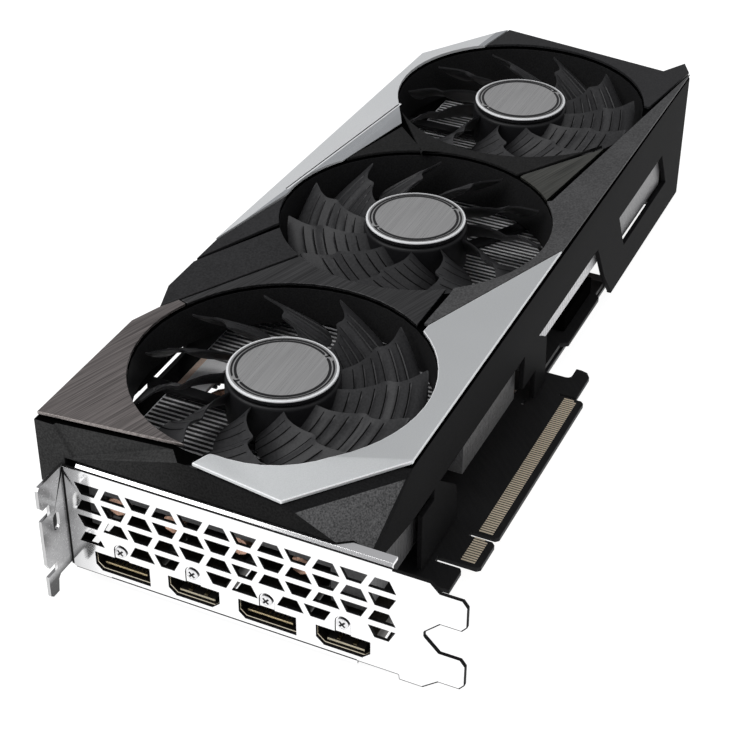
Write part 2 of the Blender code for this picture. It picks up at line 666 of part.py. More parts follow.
def add_blade(bm, turn, spin):
    """One swept blade, a thin solid from inside the hub to its tip."""
    start = HUB_R - BLADE_ROOT
    radii = [start + (TIP_R - start) * step / SPAN_STEPS for step in range(SPAN_STEPS + 1)]
    grid = []
    for radius in radii:
        row = []
        for angle, height in blade_points(max(radius, HUB_R)):
            swing = math.radians(turn + spin * angle)
            across = (radius * math.cos(swing), radius * math.sin(swing))
            upper = bm.verts.new((*across, height + BLADE_HALF))
            lower = bm.verts.new((*across, height - BLADE_HALF))
            row.append((upper, lower))
        grid.append(row)
    cells = [(step, step + 1) for step in range(CHORD_STEPS)]
    for first, second in zip(grid, grid[1:]):
        for a, b in cells:
            bm.faces.new((first[a][0], second[a][0], second[b][0], first[b][0]))
            bm.faces.new((first[a][1], first[b][1], second[b][1], second[a][1]))
        for edge in (0, CHORD_STEPS):
            bm.faces.new((first[edge][0], first[edge][1], second[edge][1], second[edge][0]))
    for row in (grid[0], grid[-1]):
        for a, b in cells:
            bm.faces.new((row[a][0], row[a][1], row[b][1], row[b][0]))


def make_fan(number):
    """A fan: rotor with hub and blades, cap, shaft, and the fixed motor on its three-armed mount."""
    x = FAN_X[number - 1]
    spin = FAN_SPIN[number - 1]
    axis = make_axis(f"fan_axis_{number}", x, FAN_Y)
    hub = prism(circle(0.0, 0.0, HUB_R, HUB_SIDES), HUB_LOW, HUB_TOP)
    rotor = make_object(f"fan_rotor_{number}", hub, "blade_plastic", axis)
    blades = bmesh.new()
    first = FAN_TIPS[number - 1] - spin * leading_angle(TIP_R)
    for blade in range(BLADES):
        add_blade(blades, first + 360.0 * blade / BLADES, spin)
    join(rotor, blades)
    cut(rotor, prism(circle(0.0, 0.0, HUB_R - SHELL, HUB_SIDES), HUB_LOW - 5.0, HUB_TOP - SHELL))
    join(rotor, prism(circle(0.0, 0.0, 3.2, 12), HUB_TOP - 6.0, HUB_TOP - 1.0))
    cut(rotor, prism(circle(0.0, 0.0, SHAFT_R + GAP, 12), HUB_LOW, HUB_TOP - 1.2))
    cap = prism(circle(0.0, 0.0, CAP_R, 40), CAP_LOW, CAP_TOP)
    make_object(f"fan_cap_{number}", cap, "fin_aluminium", axis, smooth=True)
    shaft = prism(circle(0.0, 0.0, SHAFT_R, 12), MOTOR_LOW, HUB_TOP - SHELL)
    make_object(f"fan_shaft_{number}", shaft, "steel", axis, smooth=True)
    winding = prism(circle(0.0, 0.0, MOTOR_R, 24), MOTOR_LOW, MOTOR_TOP)
    stator = make_object(f"fan_motor_{number}", winding, "copper", axis, smooth=True)
    cut(stator, prism(circle(0.0, 0.0, SHAFT_R + GAP, 12), MOTOR_LOW - 5.0, MOTOR_TOP + 5.0))
    disc = prism(circle(0.0, 0.0, MOUNT_R, 24), MOUNT_LOW, MOUNT_TOP)
    mount = make_object(f"fan_mount_{number}", disc, "black_plastic", axis)
    for arm in range(3):
        turn = math.radians(90.0 + 120.0 * arm)
        along = Vector((math.cos(turn), math.sin(turn)))
        side = Vector((-along.y, along.x)) * ARM_HALF
        inner, outer = along * ARM_START, along * ARM_END
        ends = (inner - side, outer - side, outer + side, inner + side)
        join(mount, prism([tuple(end) for end in ends], MOUNT_LOW, ARM_TOP))


# --- Cooler and backplate ---


def fin_profile(front_low, back_low):
    """Outline of one fin across the card: legs on both sides of the channel the heat pipes run in."""
    legs_front = [(FIN_FRONT, front_low), (LEG_FRONT, front_low), (LEG_FRONT, CHANNEL_TOP)]
    legs_back = [(LEG_BACK, CHANNEL_TOP), (LEG_BACK, back_low), (FIN_BACK, back_low)]
    return legs_front + legs_back + [(FIN_BACK, FIN_TOP), (FIN_FRONT, FIN_TOP)]


def make_fin_stack(name, start, end, front_low, back_low):
    """A stack of fins across the card, joined by bars along it."""
    fins = bmesh.new()
    x = start
    while x + FIN_THICK <= end + 0.01:
        add_prism(fins, fin_profile(front_low, back_low), x, x + FIN_THICK, "X")
        x += FIN_PITCH
    stack = make_object(name, fins, "fin_aluminium")
    last = x - FIN_PITCH + FIN_THICK
    for y in (FIN_FRONT + BAR_INSET_FRONT, FIN_BACK - BAR_INSET_BACK):
        section = rectangle(y - BAR_HALF, BAR_LOW, y + BAR_HALF, BAR_TOP)
        join(stack, prism(section, start + 0.2, last - 0.2, "X"))


def make_pipe(number):
    """A heat pipe: straight under the near fins, in over the cold plate, and on to the far end."""
    side, middle = PIPE_SIDES[number - 1], PLATE_SIDES[number - 1]
    knots = [(7.0, side), (54.0, side), (60.0, side), (80.0, middle)]
    knots += [(122.0, middle), (142.0, side), (259.0, side)]
    curve = bpy.data.curves.new(f"heat_pipe_{number}", "CURVE")
    curve.dimensions = "3D"
    curve.bevel_depth = PIPE_R * MM
    curve.bevel_resolution = 2
    curve.use_fill_caps = True
    spline = curve.splines.new("POLY")
    points = []
    for (x0, y0), (x1, y1) in zip(knots, knots[1:]):
        pieces = 1 if abs(y1 - y0) < 0.5 else 6
        for step in range(pieces):
            share = step / pieces
            ease = share * share * (3.0 - 2.0 * share)
            points.append((x0 + (x1 - x0) * share, y0 + (y1 - y0) * ease))
    points.append(knots[-1])
    spline.points.add(len(points) - 1)
    for point, (x, y) in zip(spline.points, points):
        point.co = (x * MM, y * MM, PIPE_Z * MM, 1.0)
    curve.materials.append(make_look("copper"))
    pipe = bpy.data.objects.new(f"heat_pipe_{number}", curve)
    pipe.parent = bpy.data.objects[FRAME_NAME]
    bpy.context.scene.collection.objects.link(pipe)


def make_cooler():
    for name, (start, end, front_low, back_low) in FIN_STACKS.items():
        make_fin_stack(name, start, end, front_low, back_low)
    for number in range(1, len(PIPE_SIDES) + 1):
        make_pipe(number)
    make_object("cold_plate", prism(rectangle(80.0, 40.0, 122.0, 78.0), 2.8, 11.9), "copper")


def make_backplate():
    """The backplate, open behind the far fins, with spacers up to the board."""
    outline = [(22.0, 17.6), (271.0, 17.6), (271.0, 24.0), (279.6, 86.6), (250.0, 106.2), (247.0, 107.4)]
    outline += [(22.0, 107.4)]
    plate = make_object("backplate", prism(outline, PLATE_LOW, PLATE_TOP), "textured_plastic")
    cut(plate, prism(rectangle(206.0, 20.6, 262.0, 102.0), PLATE_LOW - 2.0, PLATE_TOP + 2.0))
    for x, y in SPACERS:
        join(plate, prism(circle(x, y, SPACER_R, 12), PLATE_TOP - 0.8, BOARD_LOW - GAP))


def main():
    clear_scene()
    make_frame()
    make_board()
    make_processor()
    make_memory()
    make_power_sockets()
    make_lead_header()
    make_bracket()
    make_ports()
    make_shroud()
    make_brushed_plates()
    make_silver_trims()
    make_side_panels()
    make_far_panels()
    for number in range(1, len(FAN_X) + 1):
        make_fan(number)
    make_cooler()
    make_backplate()


main()
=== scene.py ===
"""The looks of a three-fan graphics card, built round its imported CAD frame.

Card frame, in millimetres: x runs from the slot bracket's outer face to the far end, y from the edge
connector's outer edge to the power sockets, and z from the board's component side up through the fans.
"""

import math

import bmesh
import bpy
from mathutils import Matrix, Vector


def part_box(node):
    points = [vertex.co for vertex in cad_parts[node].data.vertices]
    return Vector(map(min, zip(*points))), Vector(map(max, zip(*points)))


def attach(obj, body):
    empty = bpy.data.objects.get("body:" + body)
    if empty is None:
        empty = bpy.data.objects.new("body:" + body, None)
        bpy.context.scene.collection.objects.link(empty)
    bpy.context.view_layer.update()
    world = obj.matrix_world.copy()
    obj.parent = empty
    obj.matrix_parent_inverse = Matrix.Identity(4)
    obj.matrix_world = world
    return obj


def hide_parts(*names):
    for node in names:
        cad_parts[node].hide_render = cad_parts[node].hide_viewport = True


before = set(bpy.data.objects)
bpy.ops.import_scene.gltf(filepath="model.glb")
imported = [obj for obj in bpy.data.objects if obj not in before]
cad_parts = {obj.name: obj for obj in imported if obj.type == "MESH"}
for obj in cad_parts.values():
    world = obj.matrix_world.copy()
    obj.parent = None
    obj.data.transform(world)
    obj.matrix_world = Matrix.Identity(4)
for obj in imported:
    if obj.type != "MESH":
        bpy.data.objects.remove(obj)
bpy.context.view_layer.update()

MM = 0.001
GAP = 0.3
# The bracket's lowest corner in the card frame, which places the card frame in the world.
BRACKET_CORNER = Vector((-11.4, -13.1, -8.5))
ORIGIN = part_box("io_bracket")[0] - BRACKET_CORNER * MM

# View of the card: where the camera aims, in the card frame, and how it looks there.
AIM = Vector((85.45, 52.28, 22.0))
HEADING, DROP, ROLL = 24.763, 35.548, 0.387
CAMERA_DISTANCE = 531.1
LENS = 85.72

# Brushed streaks run this far off the card's long side.
STREAK_TURN = -18.0

# Fans.
FANS = (1, 2, 3)
FAN_SPIN = {1: 1, 2: -1, 3: 1}
BLADES = 11
HUB_R, TIP_R = 16.4, 40.5
FAN_TIPS = {1: 4.1, 2: 10.4, 3: 4.6}
HUB_LOW, HUB_BORE = 29.5, 14.8
BLADE_HIGH, BLADE_RISE, BLADE_DROP, BLADE_SAG = 41.1, 1.0, 9.2, 0.6
CHORD_ROOT, CHORD_TIP = 27.0, 25.0
RIBS = (19.9, 23.0, 26.2, 29.3, 32.6, 35.6)
RIB_WIDE = 0.36

# How far, in degrees, a blade's leading edge runs ahead of its root, by radius: it bulges half way out.
SWEEP = (
    (16.4, 0.0), (21.0, 4.0), (26.5, 12.0), (29.0, 16.0),
    (32.0, 15.0), (35.0, 17.5), (38.5, 22.0), (40.5, 25.0),
)

# Thickness of the bracket's sheet, and the height over which the video ports have their screw ears.
SHEET = 1.0
EAR_LOW = 4.3

# Painted shade lines run along the sheet's edges on the connector side of the first and below the second, as
# far as the tab.
LINE_SIDE, LINE_LOW, TAB_START = 4.6, -2.9, 100.0
LINE_BROAD, LINE_FINE = 0.3, 0.12

# Painted shade lines on the bracket's face: under the flange and over the lip, as a start and end across the
# card and a low and high edge, and the fold beside the tab, as a width, a foot and a top.
FLANGE_SHADE = (7.8, 101.4, 30.85, 31.5)
LIP_SHADE = (17.6, 93.1, -4.85, -4.55)
FOLD_SHADE = (0.6, -4.0, 30.4)
LINE_OUT, LINE_IN = -0.07, 0.1

# Contacts in the ports: how many, where they end and their top, then the pitch and half width in each kind.
PORT_CONTACTS, PORT_CONTACT_END = 10, 9.0
SLIM_CONTACT, WIDE_CONTACT = (1.25, 0.28, 0.9), (1.0, 0.2, 2.6)
DOT_SIDE, DOT_HALF = 2.4, 0.5

# Cooler.
FIN_PITCH, FIN_THICK = 1.9, 0.8
LIP_GAP, LIP_DEEP = 0.12, 0.35
CHANNEL_TOP = 19.0
LEG_FRONT, LEG_BACK = 10.8, 4.0

# Edge connector: where its two rows of contacts start and how many each has, and how far the contacts reach.
CONTACT_ROWS = ((43.9, 11), (57.3, 71))
CONTACT_PITCH, CONTACT_HALF = 1.0, 0.3
CONTACT_LOW, CONTACT_HIGH = 2.1, 6.3
FOIL = 0.05

# The processor's bare die, the chokes in two rows, the capacitors and the row of small parts.
DIE_HALF = (12.4, 9.9)
CHOKES, CHOKE_HALF, CHOKE_TALL = 7, 4.5, 5.0
CHOKE_ROW, CHOKE_X, CHOKE_PITCH, CHOKE_ROWS = 4, 20.0, 12.5, (26.0, 88.0)
CAPACITORS, CAPACITOR_X, CAPACITOR_PITCH, CAPACITOR_Y = 6, 142.0, 8.5, 86.0
SMALL_PARTS, SMALL_X, SMALL_Y, SMALL_PITCH = 16, 124.0, 22.0, 2.8

# Power sockets: thickness of the outer wall, how far the chambers reach, and half a wall and half a pin.
SOCKET_WALL, SOCKET_START, SOCKET_FLOOR, SOCKET_ROOF = 1.2, 99.5, 1.5, 9.2
CHAMBER_WALL, PIN_HALF, PIN_START, PIN_END = 0.35, 0.6, 99.0, 109.0

# Port screws: reach and half width of the cross, its depth, and the shank's radius.
CROSS_REACH, CROSS_HALF, CROSS_DEEP, SHANK_R = 1.15, 0.3, 0.18, 0.62

# The shroud's corner facet, as three points in its plane, how far it reaches along the card, the start of the
# hollow over the bracket in x, y and z, where the shroud is painted lighter, and the radius within which a
# wall belongs to a fan's duct, painted lighter too.
GRAIN_FACET = (Vector((1.5, 39.6, 40.3)), Vector((26.0, 13.6, 44.6)), Vector((2.0, 22.8, 32.5)))
GRAIN_END = 40.0
HOLLOW_X, HOLLOW_Y, HOLLOW_Z = 9.0, 64.0, 31.0
DUCT_R = 43.2

# The textured panels in order: node, look and softening of the edges.
PANELS = (
    ("back_panel_near", "panel_black", 0.2),
    ("back_panel_far", "panel_black", 0.2),
    ("side_band", "band_black", 0.2),
    ("bridge_panel", "bridge_black", 0.25),
    ("end_panel", "panel_black", 0.2),
)

# The far trim's sloping facet: two points on its upper edge, and one on its lower edge so much further down.
FACET_START, FACET_END, FACET_LOW = Vector((137.0, 108.2)), Vector((210.0, 99.4)), Vector((180.0, 96.6))
FACET_DROP, FACET_BACK = 0.75, 109.0
# A painted highlight strip along the facet's upper edge: its two ends, and the offset of its corners from
# them.
FACET_HIGHLIGHT = (Vector((137.5, 108.1)), Vector((208.0, 99.7)))
FACET_HIGHLIGHT_HALF = Vector((0.06, 0.5))

# Caps: radii of the two broken rings and half their width, where they break, and how deep they lie.
RING_OUTER, RING_INNER, RING_HALF = 14.4, 13.2, 0.4
RING_TURNS, RING_SWEEP, RING_SHIFT = (-43.0, 137.0), 173.5, 7.4
RING_LOW, RING_TOP = 0.14, 0.02


# --- Places read from the frame ---


def card_box(node):
    """Lowest and highest corner of a CAD node, in the card frame."""
    low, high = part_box(node)
    return (low - ORIGIN) / MM, (high - ORIGIN) / MM


def middle_of(node):
    low, high = card_box(node)
    return (low + high) / 2


# --- Materials ---


class Look:
    """A Principled material whose colour, roughness and relief come from procedural nodes."""

    def __init__(self, name, **sockets):
        self.material = bpy.data.materials.new(name)
        self.material.use_nodes = True
        self.tree = self.material.node_tree
        self.shader = self.tree.nodes["Principled BSDF"]
        for socket, value in sockets.items():
            self.shader.inputs[socket.replace("_", " ")].default_value = value
        self.place = self.node("ShaderNodeTexCoord").outputs["Object"]

    def node(self, kind, **settings):
        made = self.tree.nodes.new(kind)
        for name, value in settings.items():
            setattr(made, name, value)
        return made

    def join(self, source, target):
        self.tree.links.new(source, target)

    def noise(self, size, stretch=1.0, turn=0.0, detail=3.0):
        """Noise with spots of a size in millimetres, drawn out along a direction in the card's plane."""
        mapping = self.node("ShaderNodeMapping", vector_type="TEXTURE")
        mapping.inputs["Rotation"].default_value = (0.0, 0.0, math.radians(turn))
        mapping.inputs["Scale"].default_value = (size * stretch * MM, size * MM, size * MM)
        self.join(self.place, mapping.inputs["Vector"])
        texture = self.node("ShaderNodeTexNoise")
        texture.inputs["Scale"].default_value = 1.0
        texture.inputs["Detail"].default_value = detail
        self.join(mapping.outputs["Vector"], texture.inputs["Vector"])
        return texture.outputs["Fac"]

    def blend(self, first, second, share):
        mix = self.node("ShaderNodeMix", data_type="FLOAT")
        mix.inputs[0].default_value = share
        self.join(first, mix.inputs[2])
        self.join(second, mix.inputs[3])
        return mix.outputs[0]

    def ramp(self, factor, stops):
        """Colours along a factor: stops are pairs of a place and a colour."""
        ramp = self.node("ShaderNodeValToRGB")
        elements = ramp.color_ramp.elements
        while len(elements) < len(stops):
            elements.new(0.5)
        for element, (place, colour) in zip(elements, stops):
            element.position = place
            element.color = (*colour, 1.0)
        self.join(factor, ramp.inputs["Fac"])
        return ramp.outputs["Color"]

    def span(self, factor, low, high, start=0.3, end=0.7):
        """The factor's middle range, spread from low to high."""
        spread = self.node("ShaderNodeMapRange")
        for socket, value in zip(("From Min", "From Max", "To Min", "To Max"), (start, end, low, high)):
            spread.inputs[socket].default_value = value
        self.join(factor, spread.inputs["Value"])
        return spread.outputs["Result"]

    def colour(self, source):
        self.join(source, self.shader.inputs["Base Color"])

    def along(self, axis, start, end, low, high):
        """A factor that goes from low to high between two places, in card millimetres, along an axis."""
        parts = self.node("ShaderNodeSeparateXYZ")
        self.join(self.place, parts.inputs["Vector"])
        return self.span(parts.outputs[axis], low, high, start * MM, end * MM)

    def shade(self, factor):
        """Darkens the colour by a factor, as painted shade."""
        socket = self.shader.inputs["Base Color"]
        mix = self.node("ShaderNodeMix", data_type="RGBA", blend_type="MULTIPLY")
        mix.inputs["Factor"].default_value = 1.0
        self.join(socket.links[0].from_socket, mix.inputs[6])
        self.join(factor, mix.inputs[7])
        self.join(mix.outputs[2], socket)

    def roughness(self, source):
        self.join(source, self.shader.inputs["Roughness"])

    def relief(self, height, depth):
        """Adds relief of a depth in millimetres to the surface."""
        bump = self.node("ShaderNodeBump")
        bump.inputs["Strength"].default_value = 1.0
        bump.inputs["Distance"].default_value = depth * MM
        self.join(height, bump.inputs["Height"])
        before = self.shader.inputs["Normal"]
        if before.is_linked:
            self.join(before.links[0].from_socket, bump.inputs["Normal"])
        self.join(bump.outputs["Normal"], before)


def shades(colour, spread):
    """A colour's darker and lighter neighbour."""
    return [tuple(min(1.0, part * share) for part in colour) for share in (1.0 - spread, 1.0 + spread)]


def plain_look(name, colour, roughness, spread, patch, grain, depth, **sockets):
    """A moulded, painted or cast surface: soft patches in its colour and gloss, and a fine grain."""
    look = Look(name, **sockets)
    patches = look.noise(patch)
    specks = look.noise(grain, detail=2.0)
    dark, light = shades(colour, spread)
    mixed = look.blend(patches, specks, 0.8)
    look.colour(look.ramp(mixed, ((0.36, dark), (0.64, light))))
    look.roughness(look.span(mixed, roughness * 0.85, roughness * 1.15))
    look.relief(specks, depth)
    return look


def streaked_look(name, colour, roughness, turn, spread, width, length=26.0, depth=0.004, **sockets):
    """A brushed surface: fine streaks over broader ones, along one direction."""
    look = Look(name, **sockets)
    fine = look.noise(width, stretch=length / width, turn=turn, detail=4.0)
    broad = look.noise(width * 3.0, stretch=length / width / 3.0, turn=turn)
    patches = look.noise(22.0)
    mixed = look.blend(look.blend(fine, broad, 0.35), patches, 0.1)
    dark, light = shades(colour, spread)
    look.colour(look.ramp(mixed, ((0.38, dark), (0.62, light))))
    look.roughness(look.span(mixed, roughness * 0.8, roughness * 1.2))
    look.relief(fine, depth)
    return look


# Moulded, painted and cast surfaces: colour, roughness, spread of the colour, size of its patches and of its
# grain in millimetres, depth of the grain, and the shader's other sockets.
PLAIN_LOOKS = {
    "wall_black": ((0.0118, 0.0118, 0.0122), 0.42, 0.25, 18.0, 0.5, 0.012, {"Specular_IOR_Level": 0.004}),
    "grain_black": ((0.076, 0.076, 0.077), 0.55, 0.5, 9.0, 0.45, 0.05, {"Specular_IOR_Level": 0.06}),
    # A lighter copy of the shroud black for the duct walls: painted light.
    "duct_lit_black": ((0.0175, 0.0175, 0.018), 0.42, 0.25, 18.0, 0.5, 0.012, {"Specular_IOR_Level": 0.004}),
    # A lighter copy of the shroud black over the bracket: painted light.
    "hollow_lit_black": ((0.036, 0.036, 0.036), 0.5, 0.3, 12.0, 0.6, 0.03, {"Specular_IOR_Level": 0.06}),
    "band_black": ((0.066, 0.066, 0.067), 0.5, 0.35, 16.0, 0.6, 0.03, {"Specular_IOR_Level": 0.1}),
    "panel_black": ((0.022, 0.022, 0.023), 0.42, 0.35, 14.0, 0.6, 0.02, {"Specular_IOR_Level": 0.1}),
    # Painted light: a lighter copy of the shroud black for its front face.
    "front_lit_black": ((0.038, 0.038, 0.038), 0.5, 0.3, 12.0, 0.6, 0.03, {"Specular_IOR_Level": 0.01}),
    # Near black for faces seen in the gaps between plates: painted shade.
    "gap_shade_black": ((0.0015, 0.0015, 0.0015), 0.6, 0.3, 10.0, 0.5, 0.01, {"Specular_IOR_Level": 0.0}),
    "bridge_black": ((0.016, 0.016, 0.016), 0.45, 0.35, 14.0, 0.6, 0.02, {"Specular_IOR_Level": 0.03}),
    "port_inside_shade": ((0.030, 0.026, 0.020), 0.35, 0.4, 3.0, 0.8, 0.01, {"Metallic": 0.7}),
    # Near black for the bracket's cut edges and its lines: painted shade.
    "edge_shade_black": ((0.010, 0.010, 0.010), 0.5, 0.2, 2.0, 0.3, 0.01, {"Specular_IOR_Level": 0.05}),
    "silver": ((0.56, 0.575, 0.58), 0.36, 0.05, 20.0, 0.3, 0.006, {"Metallic": 0.45}),
    # A bright copy of the trim silver: painted highlight on edges and rims.
    "highlight_silver": ((0.86, 0.87, 0.88), 0.3, 0.04, 14.0, 0.3, 0.004, {"Metallic": 0.2}),
    # A lighter copy of the trim silver for the far trim: painted light.
    "silver_far_lit": ((0.74, 0.755, 0.76), 0.36, 0.05, 20.0, 0.3, 0.006, {"Metallic": 0.3}),
    # A darker copy of the trim silver for the far trim's sloping facet: painted shade.
    "silver_facet_shade": ((0.40, 0.415, 0.43), 0.4, 0.06, 14.0, 0.3, 0.006, {"Metallic": 0.4}),
    "port_metal": ((0.80, 0.73, 0.58), 0.24, 0.12, 3.0, 0.25, 0.01, {"Metallic": 1.0}),
    "gold": ((0.86, 0.70, 0.42), 0.28, 0.15, 2.0, 0.2, 0.006, {"Metallic": 1.0}),
    "contact_beige": ((0.78, 0.70, 0.52), 0.42, 0.08, 4.0, 0.3, 0.01, {"Metallic": 0.1}),
    "gold_finger": ((0.88, 0.76, 0.58), 0.4, 0.08, 3.0, 0.3, 0.004, {"Metallic": 0.3}),
    "contact_black": ((0.020, 0.018, 0.016), 0.45, 0.2, 4.0, 0.3, 0.01, {"Specular_IOR_Level": 0.3}),
    "screw_steel": ((0.74, 0.74, 0.75), 0.24, 0.1, 2.0, 0.2, 0.01, {"Metallic": 1.0}),
    "blade": ((0.034, 0.034, 0.0355), 0.42, 0.2, 12.0, 0.7, 0.02, {"Specular_IOR_Level": 0.2}),
    "rib_shadow": ((0.006, 0.006, 0.006), 0.6, 0.2, 6.0, 0.3, 0.01, {"Specular_IOR_Level": 0.02}),
    # Black for the caps' broken rings, and painted shade on the hubs, the caps' sides and the screws'
    # recesses and sides.
    "ring_print_and_shade_black": ((0.010, 0.010, 0.011), 0.4, 0.15, 6.0, 0.3, 0.01, {"Specular_IOR_Level": 0.2}),
    "fin_grey": ((0.86, 0.86, 0.87), 0.42, 0.14, 5.0, 0.6, 0.012, {"Metallic": 0.1}),
    # A dark copy of the fin metal for the fins' faces: painted shade in the gaps between fins.
    "fin_side_shade": ((0.13, 0.13, 0.132), 0.5, 0.2, 5.0, 0.6, 0.012, {"Metallic": 0.2}),
    # Each stack's lips are one fin metal in different brightness: painted light and shade by where each stack
    # stands.
    "lip_near": ((0.11, 0.11, 0.112), 0.42, 0.25, 5.0, 0.6, 0.012, {"Metallic": 0.4}),
    "lip_middle": ((0.12, 0.12, 0.122), 0.42, 0.25, 5.0, 0.6, 0.012, {"Metallic": 0.4}),
    "lip_back": ((0.60, 0.60, 0.61), 0.42, 0.2, 5.0, 0.6, 0.012, {"Metallic": 0.3}),
    "lip_far": ((0.24, 0.24, 0.243), 0.42, 0.2, 5.0, 0.6, 0.012, {"Metallic": 0.4}),
    "bridge_silver": ((0.96, 0.96, 0.97), 0.4, 0.08, 6.0, 0.4, 0.008, {"Metallic": 0.1}),
    "copper": ((0.80, 0.50, 0.37), 0.3, 0.14, 6.0, 0.4, 0.01, {"Metallic": 1.0}),
    "strip_copper": ((0.86, 0.66, 0.54), 0.35, 0.1, 6.0, 0.4, 0.01, {"Metallic": 0.2}),
    "winding": ((0.42, 0.17, 0.08), 0.35, 0.2, 3.0, 0.3, 0.02, {"Metallic": 0.7}),
    "solder": ((0.66, 0.66, 0.67), 0.3, 0.15, 2.0, 0.3, 0.02, {"Metallic": 1.0}),
    "chip_black": ((0.018, 0.018, 0.020), 0.5, 0.15, 6.0, 0.3, 0.01, {}),
    "die": ((0.20, 0.22, 0.26), 0.14, 0.1, 6.0, 0.5, 0.002, {"Metallic": 0.8}),
    "carrier_green": ((0.030, 0.065, 0.045), 0.4, 0.15, 5.0, 0.4, 0.01, {}),
    "socket_black": ((0.010, 0.010, 0.011), 0.46, 0.2, 6.0, 0.4, 0.012, {"Specular_IOR_Level": 0.3}),
    "mount_black": ((0.012, 0.012, 0.013), 0.5, 0.2, 8.0, 0.4, 0.015, {"Specular_IOR_Level": 0.25}),
    "part_brown": ((0.26, 0.19, 0.13), 0.5, 0.15, 1.0, 0.2, 0.01, {}),
}

# Brushed surfaces: colour, roughness, heading of the streaks, spread of the colour, width of a streak in
# millimetres, and the shader's other sockets.
STREAKED_LOOKS = {
    # The three plates are one brushed metal; their different brightness is painted reflection.
    "plate_near": ((0.218, 0.197, 0.190), 0.34, STREAK_TURN, 0.55, 0.3, {"Metallic": 0.9}),
    "plate_middle": ((0.062, 0.062, 0.063), 0.36, STREAK_TURN, 0.55, 0.3, {"Metallic": 0.9}),
    "plate_far": ((0.090, 0.091, 0.081), 0.36, STREAK_TURN, 0.5, 0.3, {"Metallic": 0.9}),
    "cap_metal": ((0.57, 0.57, 0.565), 0.3, 0.0, 0.12, 0.3, {"Metallic": 1.0}),
    # Bright nickel for the bracket; make_looks paints it darker towards the fold beside the tab, as shade.
    "nickel": ((0.90, 0.90, 0.905), 0.12, 90.0, 0.02, 0.4, {"Metallic": 1.0}),
    # A darker copy of the nickel for the tab's broad faces: painted shade.
    "tab_shaded_nickel": ((0.60, 0.60, 0.605), 0.25, 90.0, 0.1, 0.6, {"Metallic": 0.5}),
    "backplate": ((0.030, 0.030, 0.032), 0.42, 0.0, 0.2, 0.3, {"Metallic": 0.5}),
}

# Painted shade on the bracket's tab, from its hook up to its top, as places along it and shares of its
# colour.
TAB_PAINTED_SHADES = ((0.0, 0.06), (0.13, 0.08), (0.2, 0.85), (0.42, 0.8), (0.55, 0.55), (0.72, 1.0), (1.0, 0.75))
TAB_SPAN = (-8.5, 31.0)

# Painted shade across the card, as a start, an end and the shares of the colour there: on the shroud's front
# towards the connector side, on the bracket's face towards the fold beside the tab.
FRONT_PAINTED_SHADE = (62.0, 112.0, 0.35, 1.0)
NICKEL_PAINTED_SHADE = (97.0, 106.5, 1.0, 0.55)


def make_looks():
    """Every finish of the card, by name."""
    looks = {}
    for name, (colour, roughness, spread, patch, grain, depth, sockets) in PLAIN_LOOKS.items():
        looks[name] = plain_look(name, colour, roughness, spread, patch, grain, depth, **sockets)
    for name, (colour, roughness, turn, spread, width, sockets) in STREAKED_LOOKS.items():
        looks[name] = streaked_look(name, colour, roughness, turn, spread, width, **sockets)
    # Painted shade on the shroud's front, darker towards the connector side.
    looks["front_lit_black"].shade(looks["front_lit_black"].along("Y", *FRONT_PAINTED_SHADE))
    # Painted shade on the bracket's face towards the fold.
    looks["nickel"].shade(looks["nickel"].along("Y", *NICKEL_PAINTED_SHADE))
    # Painted shade on the tab: near black at the hook, lighter and darker bands above.
    tab = looks["tab_shaded_nickel"]
    shares = tab.along("Z", *TAB_SPAN, 0.0, 1.0)
    tab.shade(tab.ramp(shares, [(place, (share, share, share)) for place, share in TAB_PAINTED_SHADES]))
    looks["board"] = board_look()
    return {name: look.material for name, look in looks.items()}


def board_look():
    """Black solder mask over faint tracks."""
    look = Look("board", Specular_IOR_Level=0.04)
    weave = look.noise(0.5, detail=2.0)
    tracks = look.noise(1.1, stretch=9.0, turn=45.0, detail=1.0)
    mixed = look.blend(weave, tracks, 0.4)
    look.colour(look.ramp(mixed, ((0.4, (0.0165, 0.0165, 0.017)), (0.6, (0.0205, 0.0205, 0.021)))))
    look.roughness(look.span(mixed, 0.34, 0.42))
    look.relief(look.span(tracks, 0.0, 1.0, 0.44, 0.56), 0.006)
    return look


# --- Mesh building, in card millimetres ---


def place(u, v, w, axis):
    """The point at u, v in the plane across an axis and at w along it."""
    if axis == "X":
        return (w, u, v)
    if axis == "Y":
        return (u, w, v)
    return (u, v, w)


def add_prism(bm, outline, low, high, axis="Z"):
    """Adds a closed prism over a flat outline; the mesh may hold others."""
    first = [bm.verts.new(place(u, v, low, axis)) for u, v in outline]
    second = [bm.verts.new(place(u, v, high, axis)) for u, v in outline]
    made = [bm.faces.new(first), bm.faces.new(second[::-1])]
    for index in range(len(outline)):
        after = (index + 1) % len(outline)
        made.append(bm.faces.new((first[index], second[index], second[after], first[after])))
    bmesh.ops.recalc_face_normals(bm, faces=made)
    return bm


def prism(outline, low, high, axis="Z"):
    return add_prism(bmesh.new(), outline, low, high, axis)


def rectangle(u0, v0, u1, v1):
    return [(u0, v0), (u1, v0), (u1, v1), (u0, v1)]


def add_box(bm, low, high):
    return add_prism(bm, rectangle(low[0], low[1], high[0], high[1]), low[2], high[2])


def arc(u, v, radius, start, end, steps):
    """Points of an arc, with its angles in degrees, both ends included."""
    points = []
    for step in range(steps + 1):
        angle = math.radians(start + (end - start) * step / steps)
        points.append((u + radius * math.cos(angle), v + radius * math.sin(angle)))
    return points


